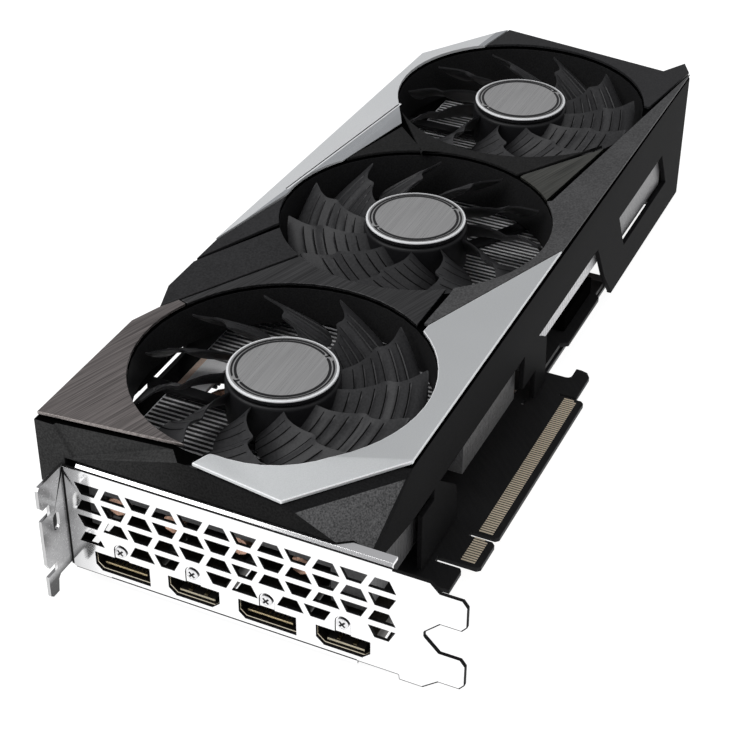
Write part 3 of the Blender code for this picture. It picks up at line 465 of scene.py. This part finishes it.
def add_lathe(bm, profile, sides, centre=(0.0, 0.0, 0.0), axis="Z"):
    """Turns a profile of radius and height pairs about an axis; a radius of 0 closes it in a point."""
    rings = []
    for radius, height in profile:
        count = sides if radius > 0.0 else 1
        ring = []
        for step in range(count):
            angle = 2.0 * math.pi * step / count
            point = place(radius * math.cos(angle), radius * math.sin(angle), height, axis)
            ring.append(bm.verts.new(Vector(point) + Vector(centre)))
        rings.append(ring)
    made = []
    for lower, upper in zip(rings, rings[1:]):
        for step in range(sides):
            after = (step + 1) % sides
            corners = [lower[step % len(lower)], lower[after % len(lower)]]
            corners += [upper[after % len(upper)], upper[step % len(upper)]]
            unique = list(dict.fromkeys(corners))
            made.append(bm.faces.new(unique))
    bmesh.ops.recalc_face_normals(bm, faces=made)
    return bm


def solid_of(node):
    """A CAD node's mesh in card millimetres, with its triangles joined back into flat faces."""
    bm = bmesh.new()
    bm.from_mesh(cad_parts[node].data)
    bmesh.ops.transform(bm, matrix=Matrix.Translation(-ORIGIN), verts=bm.verts)
    bmesh.ops.scale(bm, vec=(1.0 / MM, 1.0 / MM, 1.0 / MM), verts=bm.verts)
    bmesh.ops.remove_doubles(bm, verts=bm.verts, dist=0.002)
    bmesh.ops.dissolve_limit(bm, angle_limit=math.radians(2.0), verts=bm.verts, edges=bm.edges)
    return bm


def scratch_object(bm):
    mesh = bpy.data.meshes.new("scratch")
    bm.to_mesh(mesh)
    bm.free()
    obj = bpy.data.objects.new("scratch", mesh)
    bpy.context.scene.collection.objects.link(obj)
    return obj


def cut(bm, cutter):
    """What is left of one solid when another is taken away."""
    target, tool = scratch_object(bm), scratch_object(cutter)
    modifier = target.modifiers.new("cut", "BOOLEAN")
    modifier.operation = "DIFFERENCE"
    modifier.solver = "EXACT"
    modifier.object = tool
    graph = bpy.context.evaluated_depsgraph_get()
    left = bmesh.new()
    left.from_mesh(target.evaluated_get(graph).to_mesh())
    for obj in (target, tool):
        bpy.data.objects.remove(obj, do_unlink=True)
    return left


def piece(
    name, bm, look, body="card", stands_for=(), centre=(0, 0, 0), bevel=0.0, smooth=40.0, edge=-1
):
    """A piece from a mesh in card millimetres: softened edges, its material, and the body it rides on."""
    bmesh.ops.scale(bm, vec=(MM, MM, MM), verts=bm.verts)
    mesh = bpy.data.meshes.new(name)
    bm.to_mesh(mesh)
    bm.free()
    for material in look if isinstance(look, (list, tuple)) else [look]:
        mesh.materials.append(material)
    obj = bpy.data.objects.new(name, mesh)
    obj.location = ORIGIN + Vector(centre) * MM
    bpy.context.scene.collection.objects.link(obj)
    mesh.shade_smooth()
    mesh.set_sharp_from_angle(angle=math.radians(smooth))
    if bevel:
        soften = obj.modifiers.new("soften", "BEVEL")
        soften.width = bevel * MM
        soften.segments = 2
        soften.limit_method = "ANGLE"
        soften.angle_limit = math.radians(28.0)
        soften.use_clamp_overlap = False
        soften.harden_normals = True
        soften.material = edge
    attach(obj, body)
    if stands_for:
        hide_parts(*([stands_for] if isinstance(stands_for, str) else stands_for))
    return obj


def refined(node, look, bevel=0.2, body="card", edge=-1):
    """A CAD node's own shape with softened edges and its final material."""
    return piece(f"{node}_fine", solid_of(node), look, body, node, bevel=bevel, edge=edge)


# --- Board and what is on it ---


def make_board(looks):
    """The board with its gold contacts on both sides, the processor, the memory and the small parts."""
    refined("circuit_board", looks["board"], bevel=0.12)
    low, high = card_box("circuit_board")
    fingers = bmesh.new()
    for start, count in CONTACT_ROWS:
        for index in range(count):
            x = start + CONTACT_PITCH * index
            left, right = x - CONTACT_HALF, x + CONTACT_HALF
            outer = CONTACT_LOW + (1.0 if index == count - 1 else 0.0)
            add_box(fingers, (left, outer, high.z), (right, CONTACT_HIGH, high.z + FOIL))
            add_box(fingers, (left, outer, low.z - FOIL), (right, CONTACT_HIGH, low.z))
    piece("edge_contacts", fingers, looks["gold_finger"])
    refined("gpu_package", looks["carrier_green"], bevel=0.1)
    centre, top = middle_of("gpu_package"), card_box("gpu_package")[1].z
    half = Vector(DIE_HALF)
    die = bmesh.new()
    add_box(die, (*(centre.xy - half), top - 0.2), (*(centre.xy + half), top + 0.02))
    piece("gpu_die", die, looks["die"], bevel=0.05)
    for number in range(1, 7):
        refined(f"memory_chip_{number}", looks["chip_black"], bevel=0.15)
    make_small_parts(looks, high.z)


def make_small_parts(looks, top):
    """Chokes, capacitors and rows of small parts on the board."""
    chokes = bmesh.new()
    for index in range(CHOKES):
        x, y = CHOKE_X + CHOKE_PITCH * (index % CHOKE_ROW), CHOKE_ROWS[index // CHOKE_ROW]
        shape = rounded_rectangle(x - CHOKE_HALF, y - CHOKE_HALF, x + CHOKE_HALF, y + CHOKE_HALF, 1.0)
        add_prism(chokes, shape, top + FOIL, top + CHOKE_TALL)
    piece("chokes", chokes, looks["chip_black"], bevel=0.3)
    cans = bmesh.new()
    profile = [(0.0, FOIL), (3.2, FOIL), (3.2, 0.9), (2.9, 1.1)]
    profile += [(3.1, 1.4), (3.1, 6.4), (2.7, 6.8), (0.0, 6.7)]
    for index in range(CAPACITORS):
        add_lathe(cans, profile, 24, (CAPACITOR_X + CAPACITOR_PITCH * index, CAPACITOR_Y, top))
    piece("capacitors", cans, looks["solder"], smooth=50.0)
    small = bmesh.new()
    ends = bmesh.new()
    for index in range(SMALL_PARTS):
        y = SMALL_Y + SMALL_PITCH * index
        add_box(small, (SMALL_X - 0.4, y - 0.44, top), (SMALL_X + 0.4, y + 0.44, top + 0.5))
        for end in (y - 0.62, y + 0.62):
            add_box(ends, (SMALL_X - 0.42, end - 0.18, top), (SMALL_X + 0.42, end + 0.18, top + 0.54))
    piece("small_parts", small, looks["part_brown"])
    piece("small_part_ends", ends, looks["solder"])


def rounded_rectangle(u0, v0, u1, v1, radius):
    corners = ((u1 - radius, v1 - radius, 0), (u0 + radius, v1 - radius, 90), (u0 + radius, v0 + radius, 180))
    corners += ((u1 - radius, v0 + radius, 270),)
    points = []
    for u, v, start in corners:
        points += arc(u, v, radius, start, start + 90, 4)
    return points


def make_sockets(looks):
    """The power sockets with their walled chambers and pins, and the fan lead header."""
    for node, columns in (("power_socket_8", 4), ("power_socket_6", 3)):
        refined(node, looks["socket_black"], bevel=0.25)
        low, high = card_box(node)
        left, right = low.x + SOCKET_WALL, high.x - SOCKET_WALL
        pitch = (right - left) / columns
        rise = (SOCKET_ROOF - SOCKET_FLOOR) / 2
        shelf, half = SOCKET_FLOOR + rise, CHAMBER_WALL
        front, back = SOCKET_START, high.y - SOCKET_WALL
        walls = bmesh.new()
        pins = bmesh.new()
        for index in range(columns + 1):
            x = left + pitch * index
            add_box(walls, (x - half, front, SOCKET_FLOOR - 0.1), (x + half, back, SOCKET_ROOF + 0.1))
        add_box(walls, (left, front, shelf - half), (right, back, shelf + half))
        for column in range(columns):
            for row in range(2):
                x, z = left + pitch * (column + 0.5), SOCKET_FLOOR + rise * (row + 0.5)
                first = (x - PIN_HALF, PIN_START, z - PIN_HALF)
                add_box(pins, first, (x + PIN_HALF, PIN_END, z + PIN_HALF))
        piece(f"{node}_walls", walls, looks["socket_black"], bevel=0.1)
        piece(f"{node}_pins", pins, looks["gold"], bevel=0.1)
    # The fan lead header takes the near-black painted-shade finish, darker than its own black plastic.
    refined("fan_lead_header", looks["gap_shade_black"], bevel=0.3)


# --- Bracket and ports ---


def make_bracket(looks):
    """The slot bracket: bright faces, cut edges painted near black as shade, the tab painted darker beside
    the fold, and painted shade lines.
    """
    finishes = [looks[name] for name in ("nickel", "edge_shade_black", "tab_shaded_nickel")]
    bracket = refined("io_bracket", finishes, bevel=0.04)
    for face in bracket.data.polygons:
        where = face.center / MM
        if where.x < -0.8 and where.y > TAB_START:
            # The tab's broad faces take the darker painted-shade copy of the nickel.
            face.material_index = 2 if abs(face.normal.y) > 0.9 else 0
        # Painted shade: the sheet's cut edges are near black.
        elif abs(face.normal.x) < 0.3 and 0.02 < where.x < SHEET - 0.02:
            face.material_index = 1
    lines = bmesh.new()
    for start, end, foot, top in (FLANGE_SHADE, LIP_SHADE):
        add_box(lines, (LINE_OUT, start, foot), (LINE_IN, end, top))
    tab = card_box("io_bracket")[1].y - SHEET
    wide, foot, top = FOLD_SHADE
    add_box(lines, (LINE_OUT - 0.01, tab - wide, foot), (LINE_IN, tab, top))
    shade_sheet_edges(bracket, lines)
    piece("bracket_shade_lines", lines, looks["edge_shade_black"])


def shade_sheet_edges(bracket, lines):
    """Thin painted shade lines along the sheet's edges: broad where an edge faces the connector side, else
    fine.
    """
    bm = bmesh.new()
    bm.from_mesh(bracket.data)
    for edge in bm.edges:
        if len(edge.link_faces) != 2:
            continue
        front, rim = sorted(edge.link_faces, key=lambda face: face.normal.x)
        if front.normal.x > -0.99 or abs(rim.normal.x) > 0.1 or abs(edge.verts[0].co.x) > 0.05 * MM:
            continue
        first, second = (Vector((vert.co.y, vert.co.z)) / MM for vert in edge.verts)
        middle = (first + second) / 2
        if middle.x > LINE_SIDE and middle.y > LINE_LOW or middle.x > TAB_START:
            continue
        wide = LINE_BROAD if rim.normal.y < -0.3 and middle.x < LINE_SIDE else LINE_FINE
        inward = Vector((rim.normal.y, rim.normal.z)) * -wide
        corners = (first, second, second + inward, first + inward)
        add_prism(lines, [tuple(corner) for corner in corners], LINE_OUT + 0.02, LINE_IN, "X")
    bm.free()


def make_ports(looks):
    """The four video ports: slim ones with a cut corner and wide ones in turn."""
    for number in range(1, 5):
        make_port_shell(number, looks)
        make_port_tongue(number, looks)
        make_port_screw(number, looks)


def make_port_shell(number, looks):
    """A port's shell: bright ear, polished mouth, inside painted dark as shade."""
    finishes = [looks[name] for name in ("port_metal", "port_inside_shade", "nickel")]
    shell = refined(f"video_port_shell_{number}", finishes, bevel=0.05)
    for face in shell.data.polygons:
        where = face.center / MM
        if where.z > EAR_LOW or where.x < SHEET:
            face.material_index = 2
        # Painted shade: the shell's inside is dark.
        elif where.x > SHEET + 0.5:
            face.material_index = 1


def make_port_tongue(number, looks):
    """A port's contact tongue, with a row of contacts on top and a gold nose or a pair of gold dots."""
    slim = number % 2 == 1
    node = f"video_port_tongue_{number}"
    low, high = card_box(node)
    finishes = [looks["contact_black"], looks["contact_beige"]]
    tongue = refined(node, finishes, bevel=0.05)
    for face in tongue.data.polygons:
        if face.normal.x < -0.9:
            face.material_index = 0 if slim else 1
    middle = (low.y + high.y) / 2
    foot = high.z - 0.02
    contacts = bmesh.new()
    if slim:
        first = (low.x - 0.05, low.y + 0.2, low.z + 0.1)
        add_box(contacts, first, (low.x + 0.6, high.y - 0.2, high.z + 0.04))
    else:
        for y in (middle - DOT_SIDE, middle + DOT_SIDE):
            add_box(contacts, (low.x + 0.5, y - DOT_HALF, foot), (low.x + 2.2, y + DOT_HALF, high.z + 0.35))
    pitch, half, start = SLIM_CONTACT if slim else WIDE_CONTACT
    end = low.x + PORT_CONTACT_END
    for index in range(PORT_CONTACTS):
        y = middle + (index - (PORT_CONTACTS - 1) / 2) * pitch
        add_box(contacts, (low.x + start, y - half, foot), (end, y + half, high.z + 0.06))
    piece(f"video_port_contacts_{number}", contacts, looks["gold"])


def make_port_screw(number, looks):
    """A domed screw head with a cross recess, on its shank; the recess floor and the sides are painted dark
    as shade.
    """
    node = f"port_screw_{number}"
    low, high = card_box(node)
    centre = (low + high) / 2
    radius = (high.y - low.y) / 2
    foot = (0.0, centre.y, centre.z)
    head = bmesh.new()
    profile = [(0.0, -0.05), (radius, -0.05), (radius, -0.28)]
    profile += [(radius * 0.82, -0.45), (radius * 0.45, -0.54), (0.0, -0.55)]
    add_lathe(head, profile, 32, foot, "X")
    cross = cross_outline(centre.y, centre.z, CROSS_REACH, CROSS_HALF)
    head = cut(head, prism(cross, -1.0, -CROSS_DEEP, "X"))
    add_lathe(head, [(0.0, 0.0), (SHANK_R, 0.0), (SHANK_R, high.x), (0.0, high.x)], 16, foot, "X")
    finishes = [looks["screw_steel"], looks["ring_print_and_shade_black"]]
    screw = piece(f"{node}_fine", head, finishes, "card", node)
    for face in screw.data.polygons:
        where = face.center.x / MM
        # Painted shade on the head's side, the shank and the floor of the recess.
        side = where > -0.3 and abs(face.normal.x) < 0.2
        if side or abs(where + CROSS_DEEP) < 0.05:
            face.material_index = 1


def cross_outline(u, v, reach, half):
    """Outline of a cross that stands on its corner-to-corner diagonals."""
    points = []
    for turn in range(4):
        angle = math.radians(45.0 + 90.0 * turn)
        for along, across in ((reach, -half), (reach, half), (half, half)):
            x = along * math.cos(angle) - across * math.sin(angle)
            y = along * math.sin(angle) + across * math.cos(angle)
            points.append((u + x, v + y))
    return points


# --- Shroud and plates ---


def make_shroud(looks):
    """The shroud: grained corner facet, painted light on its front, over the bracket and on the duct walls,
    and painted shade in the gaps between plates.
    """
    names = ("wall_black", "grain_black", "hollow_lit_black", "gap_shade_black", "front_lit_black", "duct_lit_black")
    shroud = refined("fan_shroud", [looks[name] for name in names], 0.25)
    roof = card_box("fan_shroud")[1].z
    axes = [middle_of(f"fan_cap_{number}").xy for number in FANS]
    grain = (GRAIN_FACET[1] - GRAIN_FACET[0]).cross(GRAIN_FACET[2] - GRAIN_FACET[0]).normalized()
    if grain.z < 0.0:
        grain.negate()
    for face in shroud.data.polygons:
        where = face.center / MM
        if face.normal.dot(grain) > 0.995 and where.x < GRAIN_END:
            face.material_index = 1
        # The front face takes the lighter black with its painted shade.
        elif face.normal.x < -0.99 and where.x < 3.0:
            face.material_index = 4
        # Painted light: the shroud over the bracket is lighter.
        elif where.x < HOLLOW_X and where.z > HOLLOW_Z and where.y > HOLLOW_Y:
            face.material_index = 2
        # Painted shade: roof faces seen in the gaps between plates are near black.
        elif face.normal.z > 0.99 and where.z > roof - 0.5:
            face.material_index = 3
        # Painted light: the duct walls are lighter than the other walls.
        elif abs(face.normal.z) < 0.1 and min((where.xy - axis).length for axis in axes) < DUCT_R:
            face.material_index = 5


def make_plates(looks):
    """The brushed plates, silver trims and textured panels on the shroud, and the backplate below."""
    for side in ("near", "middle", "far"):
        # Each plate takes its own painted brightness.
        refined(f"brushed_plate_{side}", looks[f"plate_{side}"], 0.18)
    # The near trim's softened edges take the painted highlight silver.
    refined("silver_trim_near", [looks["silver"], looks["highlight_silver"]], 0.25, edge=1)
    make_far_trim(looks)
    for node, look, bevel in PANELS:
        refined(node, looks[look], bevel)
    refined("backplate", looks["backplate"], 0.3)


def make_far_trim(looks):
    """The far trim, whose inner side slopes down to the bridge as one facet, painted darker as shade, under a
    painted highlight strip.
    """
    bm = solid_of("silver_trim_far")
    top = card_box("silver_trim_far")[1].z
    start, end, low = FACET_START.to_3d(), FACET_END.to_3d(), FACET_LOW.to_3d()
    start.z = end.z = top
    low.z = top - FACET_DROP
    normal = (end - start).cross(low - start).normalized()
    if normal.z < 0.0:
        normal.negate()
    geometry = bm.verts[:] + bm.edges[:] + bm.faces[:]
    bmesh.ops.bisect_plane(bm, geom=geometry, plane_co=start, plane_no=normal, dist=0.0001)
    for vert in bm.verts:
        height = (vert.co - start).dot(normal)
        if height > 0.001 and vert.co.y < FACET_BACK:
            vert.co.z -= height / normal.z
    finishes = [looks["silver_far_lit"], looks["silver_facet_shade"]]
    trim = piece("silver_trim_far_fine", bm, finishes, "card", "silver_trim_far")
    for face in trim.data.polygons:
        # The sloping facet is painted darker as shade.
        if face.normal.dot(normal) > 0.9995 and face.normal.z < 0.99999:
            face.material_index = 1
    # Painted highlight along the facet's upper edge.
    edge = bmesh.new()
    first, last = FACET_HIGHLIGHT
    across = FACET_HIGHLIGHT_HALF
    corners = (first - across, last - across, last + across, first + across)
    add_prism(edge, [tuple(corner) for corner in corners], top - 0.12, top)
    piece("far_trim_highlight", edge, looks["highlight_silver"], bevel=0.05)


# --- Fans ---


def leading_angle(radius):
    """How far, in degrees, a blade's leading edge runs ahead of its root: a smooth line through SWEEP."""
    last = len(SWEEP) - 1
    index = 0
    while index < last - 1 and radius > SWEEP[index + 1][0]:
        index += 1
    (inner, before), (outer, after) = SWEEP[index], SWEEP[index + 1]
    earlier, later = SWEEP[max(0, index - 1)], SWEEP[min(last, index + 2)]
    slope_in = (after - earlier[1]) / (outer - earlier[0])
    slope_out = (later[1] - before) / (later[0] - inner)
    span = outer - inner
    t = min(1.0, (radius - inner) / span)
    curve = (2 * t**3 - 3 * t**2 + 1) * before + (3 * t**2 - 2 * t**3) * after
    return curve + span * ((t**3 - 2 * t**2 + t) * slope_in + (t**3 - t**2) * slope_out)


def rib_height(radius):
    """Height over the blade's plain surface: each rib is a ridge with a groove on its inner side."""
    if min(abs(radius - rib) for rib in RIBS) < 0.01:
        return -0.22
    if min(abs(radius - rib - RIB_WIDE) for rib in RIBS) < 0.01:
        return 0.26
    return 0.0


def blade_radii():
    """Radii of a blade's sections, closer where the ribs are and towards the tip."""
    radii = {HUB_R - 1.2, HUB_R, 18.0, 34.4, 37.4, 38.5, 39.3, 39.9, 40.3, TIP_R}
    for rib in RIBS:
        for offset in (-1.2, -0.3, 0.0, RIB_WIDE, 2.0 * RIB_WIDE):
            radii.add(round(rib + offset, 3))
    return sorted(radii)


def add_blade(bm, turn, spin):
    """One swept blade with a rounded tip, a smooth leading lip and ribs over the rest of its upper side."""
    steps = 14
    dark = []
    grid = []
    for radius in blade_radii():
        lead = leading_angle(max(radius, HUB_R))
        share = (max(radius, HUB_R) - HUB_R) / (TIP_R - HUB_R)
        chord = CHORD_ROOT + (CHORD_TIP - CHORD_ROOT) * share
        tip = max(0.0, (radius - 37.0) / (TIP_R - 37.0))
        trim = 1.0 - math.sqrt(max(0.0, 1.0 - tip * tip))
        row = []
        for step in range(steps + 1):
            along = step / steps
            angle = lead - 1.5 * trim - (chord - 6.0 * trim) * along
            height = BLADE_HIGH + BLADE_RISE * share - BLADE_DROP * along
            height -= BLADE_SAG * math.sin(math.pi * along)
            ahead = math.radians(lead - angle) * radius
            rib = rib_height(radius) if 2.0 < ahead and along < 0.97 else 0.0
            half = 0.2 + 0.5 * math.sqrt(max(0.0, math.sin(math.pi * min(1.0, along + 0.02))))
            swing = math.radians(turn + spin * angle)
            across = (radius * math.cos(swing), radius * math.sin(swing))
            row.append((bm.verts.new((*across, height + half + rib)), bm.verts.new((*across, height - half))))
        dark.append(any(-0.31 < radius - ridge < -0.01 for ridge in RIBS))
        grid.append(row)
    made = []
    for index, (first, second) in enumerate(zip(grid, grid[1:])):
        for a in range(steps):
            upper = bm.faces.new((first[a][0], second[a][0], second[a + 1][0], first[a + 1][0]))
            upper.material_index = 1 if dark[index] and a > 0 else 0
            made.append(upper)
            made.append(bm.faces.new((first[a][1], first[a + 1][1], second[a + 1][1], second[a][1])))
        for edge in (0, steps):
            made.append(bm.faces.new((first[edge][0], first[edge][1], second[edge][1], second[edge][0])))
    for row in (grid[0], grid[-1]):
        for a in range(steps):
            made.append(bm.faces.new((row[a][0], row[a][1], row[a + 1][1], row[a + 1][0])))
    bmesh.ops.recalc_face_normals(bm, faces=made)


def make_rotor(number, looks, body, axis):
    """The turning part of a fan: hub with a stepped rim, painted dark as shade under the cap, and eleven
    blades.
    """
    node = f"fan_rotor_{number}"
    rotor = bmesh.new()
    first = FAN_TIPS[number] - FAN_SPIN[number] * leading_angle(TIP_R)
    top = card_box(f"fan_cap_{number}")[0].z - GAP
    profile = [(HUB_BORE, HUB_LOW), (HUB_R, HUB_LOW), (HUB_R, top - 1.2), (HUB_R - 0.15, top - 0.5)]
    profile += [(HUB_R - 0.6, top - 0.1), (HUB_R - 1.2, top), (3.4, top), (3.4, top - 1.6)]
    profile += [(HUB_BORE, top - 1.6), (HUB_BORE, HUB_LOW)]
    add_lathe(rotor, profile, 72)
    for blade in range(BLADES):
        add_blade(rotor, first + 360.0 * blade / BLADES, FAN_SPIN[number])
    finishes = [looks[name] for name in ("blade", "rib_shadow", "ring_print_and_shade_black")]
    centre = (axis.x, axis.y, 0.0)
    fine = piece(f"{node}_fine", rotor, finishes, body, node, centre, smooth=38.0)
    for face in fine.data.polygons:
        # Painted shade: the hub under the cap is darker than the blades.
        if face.center.to_2d().length < (HUB_R + 0.1) * MM:
            face.material_index = 2


def ring_strip(bm, radius, start, end, low, high):
    """A flat strip round an arc, narrowing at its two ends."""
    steps = 72
    inner, outer = [], []
    for step in range(steps + 1):
        angle = start + (end - start) * step / steps
        edge = min(abs(angle - start), abs(end - angle))
        reach = RING_HALF * min(1.0, 0.15 + edge)
        direction = Vector((math.cos(math.radians(angle)), math.sin(math.radians(angle))))
        inner.append(tuple(direction * (radius - reach)))
        outer.append(tuple(direction * (radius + reach)))
    for index in range(steps):
        shape = [outer[index], outer[index + 1], inner[index + 1], inner[index]]
        add_prism(bm, shape, low, high)
    bmesh.ops.remove_doubles(bm, verts=bm.verts, dist=0.0005)
    shared = {edge for edge in bm.edges if len(edge.link_faces) > 2 or edge.calc_length() == 0.0}
    inside = [face for face in bm.faces if all(edge in shared for edge in face.edges)]
    bmesh.ops.delete(bm, geom=inside, context="FACES")


def make_cap(number, looks, body, axis):
    """The brushed cap: a slightly raised disc with a rim painted bright as a highlight, its side painted dark
    as shade, and two broken black rings.
    """
    node = f"fan_cap_{number}"
    low, high = card_box(node)
    radius = (high.x - low.x) / 2
    cap = bmesh.new()
    profile = [(0.0, low.z), (radius - 0.5, low.z), (radius, low.z + 0.4), (radius, high.z - 0.45)]
    profile += [(radius - 0.12, high.z - 0.16), (radius - 0.4, high.z - 0.03), (radius - 0.7, high.z)]
    profile += [(radius - 1.2, high.z), (radius - 1.25, high.z - 0.12), (12.9, high.z - 0.12)]
    profile += [(12.85, high.z - 0.04), (0.0, high.z - 0.04)]
    add_lathe(cap, profile, 96)
    finishes = [looks[name] for name in ("cap_metal", "ring_print_and_shade_black", "highlight_silver")]
    centre = (axis.x, axis.y, 0.0)
    disc = piece(f"{node}_fine", cap, finishes, body, node, centre, smooth=30.0)
    for face in disc.data.polygons:
        reach = face.center.to_2d().length / MM
        # Painted shade on the cap's side.
        if abs(face.normal.z) < 0.1 and reach > radius - 0.1:
            face.material_index = 1
        # Painted highlight on the rim.
        elif face.normal.z > 0.1 and reach > radius - 0.6:
            face.material_index = 2
    rings = bmesh.new()
    foot, top = high.z - RING_LOW, high.z - RING_TOP
    for turn in RING_TURNS:
        ring_strip(rings, RING_OUTER, turn, turn + RING_SWEEP, foot, top)
        ring_strip(rings, RING_INNER, turn + RING_SHIFT, turn + 180.0, foot, top)
        jog = math.radians(turn + RING_SHIFT / 2)
        direction = Vector((math.cos(jog), math.sin(jog)))
        middle = direction * (RING_OUTER + RING_INNER) / 2
        along = Vector((-direction.y, direction.x)) * 0.3
        out = direction * 0.85
        corners = (middle - along - out, middle + along - out, middle + along + out, middle - along + out)
        add_prism(rings, [tuple(corner) for corner in corners], foot, top)
    piece(f"fan_cap_rings_{number}", rings, looks["ring_print_and_shade_black"], body, centre=centre, smooth=30.0)


def make_fans(looks):
    """Each fan's turning parts on its own body, and its motor and mount on the card."""
    for number in FANS:
        body = f"fan_{number}"
        axis = middle_of(f"fan_cap_{number}")
        make_rotor(number, looks, body, axis)
        make_cap(number, looks, body, axis)
        refined(f"fan_shaft_{number}", looks["screw_steel"], 0.1, body)
        refined(f"fan_motor_{number}", looks["winding"], 0.3)
        refined(f"fan_mount_{number}", looks["mount_black"], 0.25)


# --- Cooler ---


def fin_outline(low, high, foot, back_foot):
    """One fin across the card, with legs on both sides of the channel that the heat pipes run in."""
    front = [(low.y, foot), (low.y + LEG_FRONT, foot), (low.y + LEG_FRONT, CHANNEL_TOP)]
    back = [(high.y - LEG_BACK, CHANNEL_TOP), (high.y - LEG_BACK, back_foot), (high.y, back_foot)]
    return front + back + [(high.y, high.z), (low.y, high.z)]


def make_fin_stack(node, back_foot, looks):
    """Thin fins close together, with folded lips that close both sides; the fins' faces are painted dark as
    shade between them.
    """
    low, high = card_box(node)
    count = int((high.x - low.x - FIN_THICK) / FIN_PITCH) + 1
    foot = low.z
    back_low = back_foot or foot
    fins = bmesh.new()
    for index in range(count):
        x = low.x + FIN_PITCH * index
        add_prism(fins, fin_outline(low, high, foot, back_low), x, x + FIN_THICK, "X")
        if index < count - 1:
            start, end = x + FIN_THICK, x + FIN_PITCH - LIP_GAP
            add_box(fins, (start, low.y, foot), (end, low.y + LIP_DEEP, high.z))
            add_box(fins, (start, high.y - LIP_DEEP, back_low), (end, high.y, high.z))
    # Each stack's lips take their own lighter or darker copy of the fin metal: painted light and shade.
    finishes = [looks["fin_grey"], looks[node.replace("fin_stack", "lip")], looks["fin_side_shade"]]
    stack = piece(f"{node}_fine", fins, finishes, "card", node)
    for face in stack.data.polygons:
        if face.normal.y < -0.9:
            face.material_index = 1
        elif abs(face.normal.x) > 0.9:
            face.material_index = 2


def make_cooler(looks):
    """Fin stacks, heat pipes and cold plate, and the bright bridge between the first two stacks."""
    make_fin_stack("fin_stack_near", None, looks)
    make_fin_stack("fin_stack_middle", 12.6, looks)
    make_fin_stack("fin_stack_back", CHANNEL_TOP - 0.4, looks)
    make_fin_stack("fin_stack_far", None, looks)
    for number in range(1, 5):
        refined(f"heat_pipe_{number}", looks["copper"], 0.0)
    refined("cold_plate", looks["copper"], 0.4)
    near = card_box("fin_stack_near")[1]
    start, end, top = near.x + 1.0, card_box("fin_stack_middle")[0].x - 1.0, near.z
    bridge = bmesh.new()
    add_prism(bridge, rounded_rectangle(start, 92.0, end, 99.6, 1.0), top - 1.2, top + 0.2)
    piece("cooler_bridge", bridge, looks["bridge_silver"], bevel=0.2)
    strip = bmesh.new()
    add_box(strip, (start, 99.8, top - 1.6), (end, 101.8, top - 0.2))
    piece("copper_strip", strip, looks["strip_copper"], bevel=0.2)


# --- Studio ---


def make_floor():
    """A white floor that glows enough to show no edge."""
    mesh = bpy.data.meshes.new("floor")
    half = 6.0
    corners = [(-half, -half, 0), (half, -half, 0), (half, half, 0), (-half, half, 0)]
    mesh.from_pydata(corners, [], [(0, 1, 2, 3)])
    floor = bpy.data.objects.new("floor", mesh)
    bpy.context.scene.collection.objects.link(floor)
    material = bpy.data.materials.new("floor_white")
    material.use_nodes = True
    shader = material.node_tree.nodes["Principled BSDF"]
    shader.inputs["Base Color"].default_value = (0.3, 0.3, 0.3, 1.0)
    shader.inputs["Roughness"].default_value = 1.0
    shader.inputs["Specular IOR Level"].default_value = 0.0
    shader.inputs["Emission Color"].default_value = (1.0, 1.0, 1.0, 1.0)
    shader.inputs["Emission Strength"].default_value = 0.92
    mesh.materials.append(material)


def add_softbox(name, location, size, strength):
    """A soft area light aimed at the card's middle; strength is its brightness."""
    light = bpy.data.lights.new(name, "AREA")
    light.shape = "RECTANGLE"
    light.size, light.size_y = size
    light.energy = strength * math.pi * size[0] * size[1]
    lamp = bpy.data.objects.new(name, light)
    lamp.location = location
    lamp.rotation_mode = "QUATERNION"
    lamp.rotation_quaternion = (Vector((0.0, 0.0, 0.02)) - Vector(location)).to_track_quat("-Z", "Y")
    bpy.context.scene.collection.objects.link(lamp)


def make_lights():
    """A pale surrounding, a key light, one overhead and a weak fill."""
    world = bpy.data.worlds.new("studio")
    world.use_nodes = True
    background = world.node_tree.nodes["Background"]
    background.inputs["Color"].default_value = (0.42, 0.42, 0.43, 1.0)
    background.inputs["Strength"].default_value = 1.0
    bpy.context.scene.world = world
    bpy.context.scene.view_settings.view_transform = "Standard"
    add_softbox("key_light", (-0.45, 0.55, 0.75), (0.7, 0.7), 3.0)
    add_softbox("overhead_light", (-0.35, 0.1, 1.1), (0.5, 0.5), 2.6)
    add_softbox("fill_light", (-0.2, -0.7, 0.8), (0.8, 0.5), 0.8)


def make_camera():
    """The photograph's view of the card."""
    heading, drop = math.radians(HEADING), math.radians(DROP)
    level = math.cos(drop)
    forward = Vector((math.cos(heading) * level, math.sin(heading) * level, -math.sin(drop)))
    camera = bpy.data.cameras.new("camera")
    camera.lens = LENS
    camera.sensor_width = 36.0
    camera.clip_start = 0.02
    holder = bpy.data.objects.new("camera", camera)
    holder.location = ORIGIN + (AIM - forward * CAMERA_DISTANCE) * MM
    right = forward.cross(Vector((0.0, 0.0, 1.0))).normalized()
    above = right.cross(forward)
    roll = math.radians(ROLL)
    side = right * math.cos(roll) + above * math.sin(roll)
    rise = above * math.cos(roll) - right * math.sin(roll)
    holder.rotation_mode = "QUATERNION"
    holder.rotation_quaternion = Matrix((side, rise, -forward)).transposed().to_quaternion()
    bpy.context.scene.collection.objects.link(holder)
    bpy.context.scene.camera = holder


def main():
    looks = make_looks()
    make_board(looks)
    make_sockets(looks)
    make_bracket(looks)
    make_ports(looks)
    make_shroud(looks)
    make_plates(looks)
    make_fans(looks)
    make_cooler(looks)
    make_floor()
    make_lights()
    make_camera()


main()
